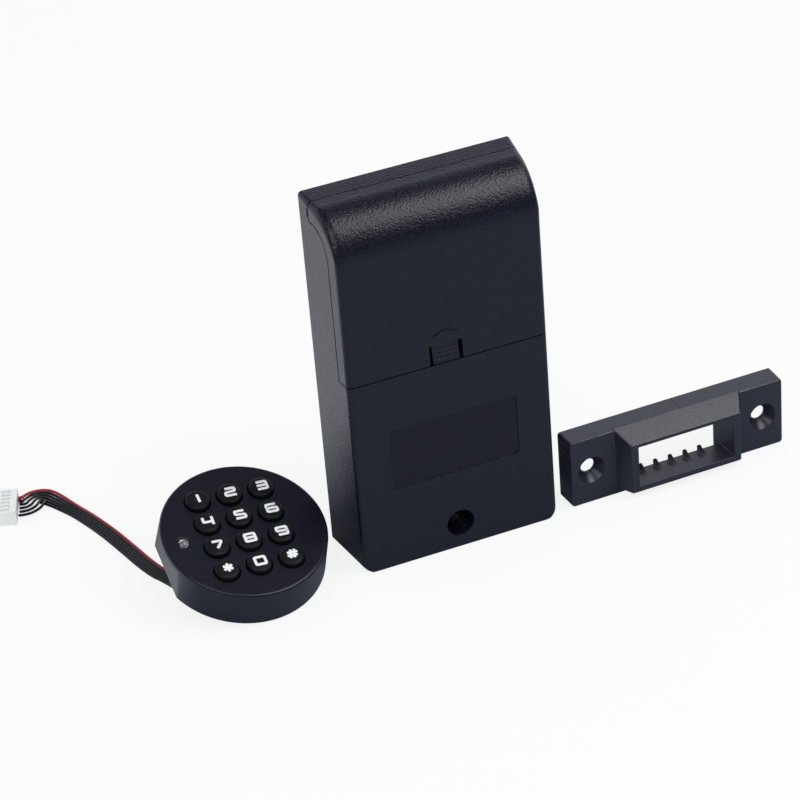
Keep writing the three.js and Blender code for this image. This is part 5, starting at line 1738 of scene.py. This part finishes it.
    @staticmethod
    def _sign(strokes: Sequence[Sequence[Flat]], half_width: float = 1.5, half_height: float = 1.3,
              weight: float = 0.86, thick: float = 0.11) -> Solid:
        """Builds one printed sign from its strokes.

        Args:
            strokes: Lines in a field 2 wide and 2 high.
            half_width: Half of the sign's width between stroke middles.
            half_height: Half of its height between stroke middles.
            weight: Width of the stroke.
            thick: Height of the print, most of it sunk in the key.

        Returns:
            The sign about the origin.
        """
        # Each stroke is a little lower than the one before, so that no faces coincide
        parts = []
        for n, stroke in enumerate(strokes):
            line = [Vector((u * half_width, v * half_height)) for u, v in stroke]
            parts.append(ribbon_stroke(line, weight, thick - 0.004 * n))
        return parts[0].beside(*parts[1:])

    def _lamp(self) -> None:
        """The clear status lamp with its dome."""
        radius, top = self.lamp_radius, self.height + self.lamp_proud
        rise = radius * 0.5
        dome = []
        for i in range(self.dome_steps):
            angle = i / self.dome_steps * math.pi / 2
            dome.append((radius * math.cos(angle), top - rise + rise * math.sin(angle)))
        solid = lathe([(radius, self.lamp_low), *dome, (0.05, top)], 48).shifted(*self.lamp, 0)
        self.bench.piece("lamp_dome", solid, Finishes.LAMP, "status_led", Edging(0.0), self.place)
        cup = lathe([(reach, top - below) for reach, below in self.lamp_cup], 32)
        self.bench.loose("lamp_cup", cup.shifted(*self.lamp, 0), Finishes.STEEL,
                         self.bench.body_of["status_led"], self.bench.slot_of["status_led"],
                         Edging(0.0), self.place)


def ribbon_stroke(line: Sequence[Vector], weight: float, thick: float,
                  corner: float = 0.42) -> Solid:
    """A flat stroke with round corners and slightly round ends along a line in a plane.

    Args:
        line: The stroke's points. It is closed where the last is the first.
        weight: Width of the stroke.
        thick: Height of the stroke.
        corner: Radius of its corners.

    Returns:
        The closed stroke, standing on height 0.
    """
    closed = (line[0] - line[-1]).length < 1e-6
    points = list(line[:-1]) if closed else list(line)
    path: list[Vector] = []
    count = len(points)
    for i, point in enumerate(points):
        if not closed and i in (0, count - 1):
            path.append(point)
            continue
        before, after = points[i - 1] - point, points[(i + 1) % count] - point
        angle = before.angle(after)
        cut = min(corner / math.tan(angle / 2), before.length * 0.45, after.length * 0.45)
        start, stop = point + before.normalized() * cut, point + after.normalized() * cut
        for k in range(6):
            t = k / 5
            path.append(start * (1 - t) ** 2 + point * 2 * t * (1 - t) + stop * t ** 2)
    half = weight / 2
    sections: list[tuple[Vector, Vector, float]] = []
    total = len(path)
    for i, point in enumerate(path):
        before = path[i - 1] if closed or i > 0 else None
        after = path[(i + 1) % total] if closed or i < total - 1 else None
        ways = [w.normalized() for w in ((point - before) if before is not None else None,
                                         (after - point) if after is not None else None) if w is not None]
        way = sum(ways, Vector((0, 0))).normalized()
        side = Vector((-way.y, way.x))
        stretch = 1.0 / max(0.5, side.dot(Vector((-ways[0].y, ways[0].x))))
        sections.append((point, side, half * min(stretch, 1.6)))
    if not closed:
        for end, other in ((0, 1), (-1, -2)):
            point, side, reach = sections[end]
            away = (point - sections[other][0]).normalized()
            caps = [(point + away * half * past, side, reach * share)
                    for past, share in ((0.45, 0.72), (0.25, 0.93))]
            sections = [*caps, *sections] if end == 0 else [*sections, *reversed(caps)]
    rings = []
    for point, side, reach in sections:
        ring = []
        for across, rise in ((1.0, 0.0), (1.0, 0.6), (0.9, 1.0), (-0.9, 1.0), (-1.0, 0.6), (-1.0, 0.0)):
            spot = point + side * reach * across
            ring.append((spot.x, spot.y, rise * thick))
        rings.append(ring)
    if not closed:
        return loft(rings)
    size = len(rings[0])
    flat_points = [p for ring in rings for p in ring]
    faces = []
    for r in range(len(rings)):
        following = (r + 1) % len(rings)
        for i in range(size):
            j = (i + 1) % size
            faces.append((r * size + i, r * size + j, following * size + j, following * size + i))
    return Solid(flat_points, faces)


# Strike


@dataclass
class Strike:
    """The strike: a flat plate with a raised keeper round a window.

    Attributes:
        bench: Where it is placed.
        window: Width, lower side and upper side of the window.
        The others: Sizes in millimetres from its lower left front corner, and yaw.
    """

    bench: Bench
    x: float = 36.65
    front: float = -9.28
    yaw: float = math.radians(0.9)
    length: float = 72.2
    height: float = 22.5
    thickness: float = 7.8
    draft: float = 0.3
    corner: float = 1.0
    corner_steps: int = 6
    keeper_length: float = 42.2
    keeper_front: float = 36.6
    keeper_corner: float = 0.5
    small_steps: int = 4
    reach: float = 5.7
    keeper_low: float = 2.3
    ramp: float = 3.45
    window: Point = (32.0, 4.3, 18.0)
    pocket: float = 4.4
    gussets: int = 5
    gusset_pitch: float = 5.0
    gusset_half: float = 0.6
    gusset_shift: float = -1.4
    gusset_rise: float = 1.7
    gusset_start: float = -1.3
    gusset_top: float = 0.5
    hole_inset: float = 7.2
    hole: float = 4.6
    sink: float = 9.0
    sink_depth: float = 2.9
    seat: float = 4.0
    screw_pocket: float = 12.0
    pocket_corner: float = 1.0
    rim: float = 1.9
    witness: float = 37.85
    witness_half: float = 0.07
    witness_front: float = 0.9
    witness_depth: float = 0.1
    sides: int = 64
    edging: Edging = Edging(0.22, 3)

    def build(self) -> None:
        """Builds and places the strike."""
        middle = self.length / 2
        solid = self._plate().add(self._keeper())
        wide, low, high = self.window
        left, right = middle - wide / 2, middle + wide / 2
        back = self.thickness - self.pocket
        far = self.thickness + OVERRUN
        solid = solid.cut(box((left, -self.reach - OVERRUN, low), (right, far, high)))
        solid = solid.cut(box((left, back, -OVERRUN), (right, far, high)))
        top = low + self.gusset_rise
        outline = [(self.gusset_start, low - BOND), (back, low - BOND), (back, top),
                   (back - self.gusset_top, top), (self.gusset_start, low)]
        for i in range(self.gussets):
            u = middle + self.gusset_shift + (i - self.gussets // 2) * self.gusset_pitch
            solid = solid.add(run(Axis.X, outline, u - self.gusset_half, u + self.gusset_half))
        for start in (self.rim, self.length - self.rim - self.screw_pocket):
            outline = rounded_outline(start, start + self.screw_pocket, self.rim,
                                      self.height - self.rim, self.pocket_corner, self.small_steps)
            solid = solid.cut(run(Axis.Y, outline, self.seat, far))
        centre, hole = self.height / 2, self.hole / 2
        for u in (self.hole_inset, self.length - self.hole_inset):
            solid = solid.cut(rod(Axis.Y, (u, -OVERRUN, centre), far + OVERRUN, hole, sides=self.sides))
            solid = solid.cut(rod(Axis.Y, (u, -0.02, centre), self.sink_depth, self.sink / 2, hole,
                                  sides=self.sides))
        solid = solid.rounded(self.edging)
        left, right = self.witness - self.witness_half, self.witness + self.witness_half
        solid = solid.cut(box((left, self.witness_front, self.height - self.witness_depth),
                              (right, far, self.height + OVERRUN)))
        place = Matrix.Translation((self.x, self.front, 0)) @ Matrix.Rotation(self.yaw, 4, "Z")
        self.bench.piece("strike", solid, Finishes.STRIKE, "strike_plate", Edging(0.0), place)

    def _plate(self) -> Solid:
        """The flat plate, with round ends seen from the front.

        Returns:
            The closed plate.
        """
        rings = []
        for y, inset in ((0.0, self.draft + 0.45), (0.12, self.draft + 0.2), (0.45, self.draft),
                         (self.thickness, 0.0)):
            lift = max(0.0, inset - self.draft)
            outline = rounded_outline(inset, self.length - inset, lift, self.height - lift,
                                      self.corner, self.corner_steps)
            rings.append([(u, y, v) for u, v in outline])
        return loft(rings)

    def _keeper(self) -> Solid:
        """The raised keeper, with its ramp along the top.

        Returns:
            The closed keeper, sunk a little into the plate.
        """
        middle = self.length / 2
        slope = (self.keeper_length - self.keeper_front) / 2 / self.reach
        edge = ((self.reach, 0.3), (self.reach - 0.1, 0.1), (self.reach - 0.35, 0.0), (-0.7, 0.0))
        rings = []
        for reach, inset in edge:
            half = self.keeper_length / 2 - slope * reach - inset
            high = self.height - self.ramp * reach / self.reach - inset
            outline = rounded_outline(middle - half, middle + half, self.keeper_low + inset, high,
                                      self.keeper_corner, self.small_steps)
            rings.append([(u, -reach, v) for u, v in outline])
        return loft(rings)


# Ribbon


@dataclass
class Ribbon:
    """The six-wire ribbon from the keypad to its connector.

    Attributes:
        bench: Where it is placed.
        pitch: Distance between wires, and end_pitch that at the connector.
        fan_start: Share of the length after which the wires spread.
        fan_power: How late they spread.
        route: Points of the ribbon's middle line.
        The others: Sizes in millimetres, and counts.
    """

    bench: Bench
    wires: int = 6
    pitch: float = 0.9
    end_pitch: float = 2.0
    fan_start: float = 0.72
    fan_power: float = 1.5
    wire_gap: float = 0.02
    wire_sides: int = 12
    steps: int = 10
    route: tuple[Point, ...] = (
        (-79.7, 2.9, 10.8), (-79.8, 3.45, 9.3), (-80.1, 4.4, 6.4), (-80.4, 6.0, 3.7), (-80.7, 7.7, 2.1),
        (-81.1, 10.0, 1.0), (-81.7, 12.7, 0.6), (-83.2, 16.5, 0.55), (-84.7, 20.0, 0.5), (-86.6, 27.0, 0.5),
        (-88.3, 35.3, 0.5), (-90.9, 46.9, 0.5), (-94.2, 58.0, 0.5), (-97.2, 65.8, 0.5), (-99.6, 71.4, 0.55),
        (-101.8, 74.6, 0.75), (-104.2, 74.8, 1.15), (-106.2, 73.1, 1.7), (-107.8, 71.2, 2.1),
        (-109.4, 70.4, 2.35), (-110.9, 70.8, 2.4))

    def line(self) -> list[Vector]:
        """The smooth middle line through the route's points.

        Returns:
            Its points, close together.
        """
        points = [Vector(p) for p in self.route]
        ends = [points[0] * 2 - points[1], *points, points[-1] * 2 - points[-2]]
        fine: list[Vector] = []
        for i in range(1, len(ends) - 2):
            a, b, c, d = ends[i - 1:i + 3]
            for k in range(self.steps):
                t = k / self.steps
                fine.append(0.5 * (2 * b + (c - a) * t + (2 * a - 5 * b + 4 * c - d) * t * t
                                   + (3 * b - a - 3 * c + d) * t ** 3))
        fine.append(points[-1])
        return fine

    def build(self) -> None:
        line = self.line()
        along = [0.0]
        for a, b in zip(line, line[1:]):
            along.append(along[-1] + (b - a).length)
        total = along[-1]
        solids = []
        for wire in range(self.wires):
            centres = []
            for i, point in enumerate(line):
                way = line[min(i + 1, len(line) - 1)] - line[max(i - 1, 0)]
                side = Vector((way.y, -way.x, 0)).normalized()
                share = max(0.0, (along[i] / total - self.fan_start) / (1 - self.fan_start))
                gap = self.pitch + (self.end_pitch - self.pitch) * share ** self.fan_power
                centres.append(point + side * ((self.wires - 1) / 2 - wire) * gap)
            solids.append(tube(centres, (self.pitch - self.wire_gap) / 2, self.wire_sides))
        ribbon = self.bench.piece("ribbon", solids[0].beside(*solids[1:]), Finishes.WIRE_BLACK,
                                  "ribbon_cable", Edging(0.0, merge=False))
        ribbon.data.materials.append(self.bench.finishes.of(Finishes.WIRE_RED))
        faces = len(ribbon.data.polygons) // self.wires
        for polygon in ribbon.data.polygons[:faces]:
            polygon.material_index = 1
        self.bench.dress("ribbon_connector")
        self.bench.done.add("ribbon_connector")
        log.info("ribbon is %.1f mm long", total)


# Stage


@dataclass
class Stage:
    """Camera, floor and lights, all in metres.

    Attributes:
        camera_at: Place of the camera.
        right: Direction to the right in the picture.
        down: Direction down in the picture.
        ahead: Direction that the camera looks in.
        lens: Focal length in millimetres.
        sensor: Width of the sensor in millimetres.
        clip: Nearest and farthest distance that is seen.
        floor_half: Half of the floor's side in millimetres.
        paper: Colour of the floor, and paper_mirrored the darker, bluish colour that reflections see in it,
            painted shade and a painted cool tint in the reflected floor.
        glow: Share of plain white in the floor that the camera sees.
        ambient: Colour of the surrounding light, and ambient_strength its strength.
        lamp_colour: Colour of the lamps.
        aim: Where the lamps point.
    """

    camera_at: Point = (-0.2875, -0.7324, 0.5344)
    right: Point = (0.9166, -0.3933, -0.0722)
    down: Point = (-0.2649, -0.4621, -0.8463)
    ahead: Point = (0.2995, 0.7949, -0.5277)
    lens: float = 144.0
    sensor: float = 36.0
    clip: Flat = (0.05, 20.0)
    floor_half: float = 4000.0
    paper: Colour = (0.8, 0.8, 0.8)
    paper_mirrored: Colour = (0.34, 0.36, 0.43)
    glow: float = 0.84
    ambient: Colour = (0.93, 0.96, 1.0)
    ambient_strength: float = 0.62
    lamp_colour: Colour = (0.94, 0.97, 1.0)
    aim: Point = (0.0, 0.0, 0.04)

    def camera(self) -> None:
        """Puts the camera at the photograph's place."""
        data = bpy.data.cameras.new("camera")
        data.lens = self.lens
        data.sensor_width = self.sensor
        data.clip_start, data.clip_end = self.clip
        made = bpy.data.objects.new("camera", data)
        turn = Matrix([self.right, [-c for c in self.down], [-c for c in self.ahead]]).transposed()
        made.matrix_world = Matrix.Translation(self.camera_at) @ turn.to_4x4()
        bpy.context.scene.collection.objects.link(made)
        bpy.context.scene.camera = made

    def floor(self) -> None:
        """A plain pale floor that keeps a soft shadow."""
        half = self.floor_half
        mesh = Solid([(-half, -half, 0), (half, -half, 0), (half, half, 0), (-half, half, 0)],
                     [(0, 1, 2, 3)]).to_mesh("floor", MM)
        made = bpy.data.objects.new("floor", mesh)
        bpy.context.scene.collection.objects.link(made)
        material = bpy.data.materials.new("floor_white")
        material.use_nodes = True
        material.node_tree.nodes.clear()
        nodes = Nodes(material.node_tree)
        output = nodes.node("ShaderNodeOutputMaterial")
        paper = nodes.node("ShaderNodeBsdfDiffuse")
        glow = nodes.node("ShaderNodeEmission")
        seen = nodes.node("ShaderNodeLightPath")
        mirrored = nodes.math("MAXIMUM", seen.outputs["Is Glossy Ray"],
                              seen.outputs["Is Transmission Ray"])
        where = nodes.node("ShaderNodeSeparateXYZ")
        nodes.link(nodes.node("ShaderNodeTexCoord").outputs["Object"], where.inputs[0])
        # Reflections see plain white behind the lock body and to the left of the keypad, and close round
        # them only the dimmed paper, a painted shadow on the floor that darkens the lower sides in
        # reflection
        beside = nodes.math("MULTIPLY",
                            nodes.ranged(where.outputs[0], low=-0.078, high=-0.088, out_high=0.72),
                            nodes.ranged(where.outputs[1], low=-0.012, high=0.004))
        behind = nodes.math("MAXIMUM", nodes.ranged(where.outputs[1], low=0.022, high=0.078), beside)
        shown = nodes.math("ADD", nodes.math("MULTIPLY", seen.outputs["Is Camera Ray"], self.glow),
                           nodes.math("MULTIPLY", mirrored, behind))
        # Reflections see the paper darker and bluish and the white bluish: painted shade and a painted cool
        # tint
        nodes.link(nodes.mixed(mirrored, self.paper, self.paper_mirrored), paper.inputs[0])
        nodes.link(nodes.mixed(mirrored, WHITE, BLUISH_MIRRORED_WHITE), glow.inputs[0])
        mix = nodes.node("ShaderNodeMixShader")
        nodes.link(shown, mix.inputs[0])
        nodes.link(paper.outputs[0], mix.inputs[1])
        nodes.link(glow.outputs[0], mix.inputs[2])
        nodes.link(mix.outputs[0], output.inputs["Surface"])
        mesh.materials.append(material)

    def lights(self) -> None:
        """Soft studio light from above, and a white world for the background."""
        world = bpy.data.worlds.new("studio")
        bpy.context.scene.world = world
        world.use_nodes = True
        world.node_tree.nodes.clear()
        nodes = Nodes(world.node_tree)
        output = nodes.node("ShaderNodeOutputWorld")
        light = nodes.node("ShaderNodeBackground", Color=(*self.ambient, 1.0),
                           Strength=self.ambient_strength)
        white = nodes.node("ShaderNodeBackground")
        seen = nodes.node("ShaderNodeLightPath")
        toward = nodes.node("ShaderNodeSeparateXYZ")
        nodes.link(nodes.node("ShaderNodeTexCoord").outputs["Generated"], toward.inputs[0])
        # In reflections the world is dim in front, with a white panel low behind the object
        panel = nodes.math("MULTIPLY", nodes.ranged(toward.outputs[2], 0.57, 0.76, 1.0, 0.0),
                           nodes.ranged(toward.outputs[1], low=0.0, high=0.35))
        mirrored = nodes.math("ADD", nodes.ranged(toward.outputs[1], -0.3, 0.1, 0.06, 0.14),
                              nodes.math("MULTIPLY", panel, 0.86))
        is_glossy = seen.outputs["Is Glossy Ray"]
        # Reflections see the world's white as a bluish white, a painted cool tint
        nodes.link(nodes.mixed(is_glossy, WHITE, BLUISH_MIRRORED_WHITE), white.inputs[0])
        glossy = nodes.math("MULTIPLY", is_glossy, nodes.math("SUBTRACT", mirrored, 1.0))
        nodes.link(nodes.math("ADD", 1.0, glossy), white.inputs["Strength"])
        shown = nodes.math("MAXIMUM", seen.outputs["Is Camera Ray"],
                           nodes.math("MAXIMUM", is_glossy, seen.outputs["Is Transmission Ray"]))
        mix = nodes.node("ShaderNodeMixShader")
        nodes.link(shown, mix.inputs[0])
        nodes.link(light.outputs[0], mix.inputs[1])
        nodes.link(white.outputs[0], mix.inputs[2])
        nodes.link(mix.outputs[0], output.inputs["Surface"])
        self._lamp("key", (0.60, -0.48, 1.08), (0.9, 0.9), 9.0)
        self._lamp("fill", (-0.7, -0.7, 0.9), (0.8, 0.8), 4.0)

    def _lamp(self, name: str, place: Point, size: Flat, power: float) -> None:
        """Adds an area light that faces the object.

        Args:
            name: Name of the light.
            place: Where it hangs, in metres.
            size: Its width and height in metres.
            power: Its power in watts.
        """
        data = bpy.data.lights.new(name, "AREA")
        data.shape = "RECTANGLE"
        data.size, data.size_y = size
        data.energy = power
        data.color = self.lamp_colour
        made = bpy.data.objects.new(name, data)
        made.location = place
        made.rotation_mode = "QUATERNION"
        toward = Vector(self.aim) - Vector(place)
        made.rotation_quaternion = toward.to_track_quat("-Z", "Y")
        bpy.context.scene.collection.objects.link(made)


# Main


def main() -> None:
    """Builds the stage and every sub-assembly in order."""
    logging.basicConfig(level=logging.INFO, format="%(name)s %(message)s")
    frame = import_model()
    bpy.context.scene.view_settings.view_transform = "Standard"
    stage = Stage()
    stage.camera()
    bench = Bench(frame, Finishes())
    Ribbon(bench).build()
    LockBody(bench).build()
    BatteryBay(bench).build()
    Keypad(bench).build()
    Strike(bench).build()
    for node, width in REFINED.items():
        bench.refine(node, width)
    bench.dress_rest()
    stage.floor()
    stage.lights()


if __name__ == "__main__":
    main()
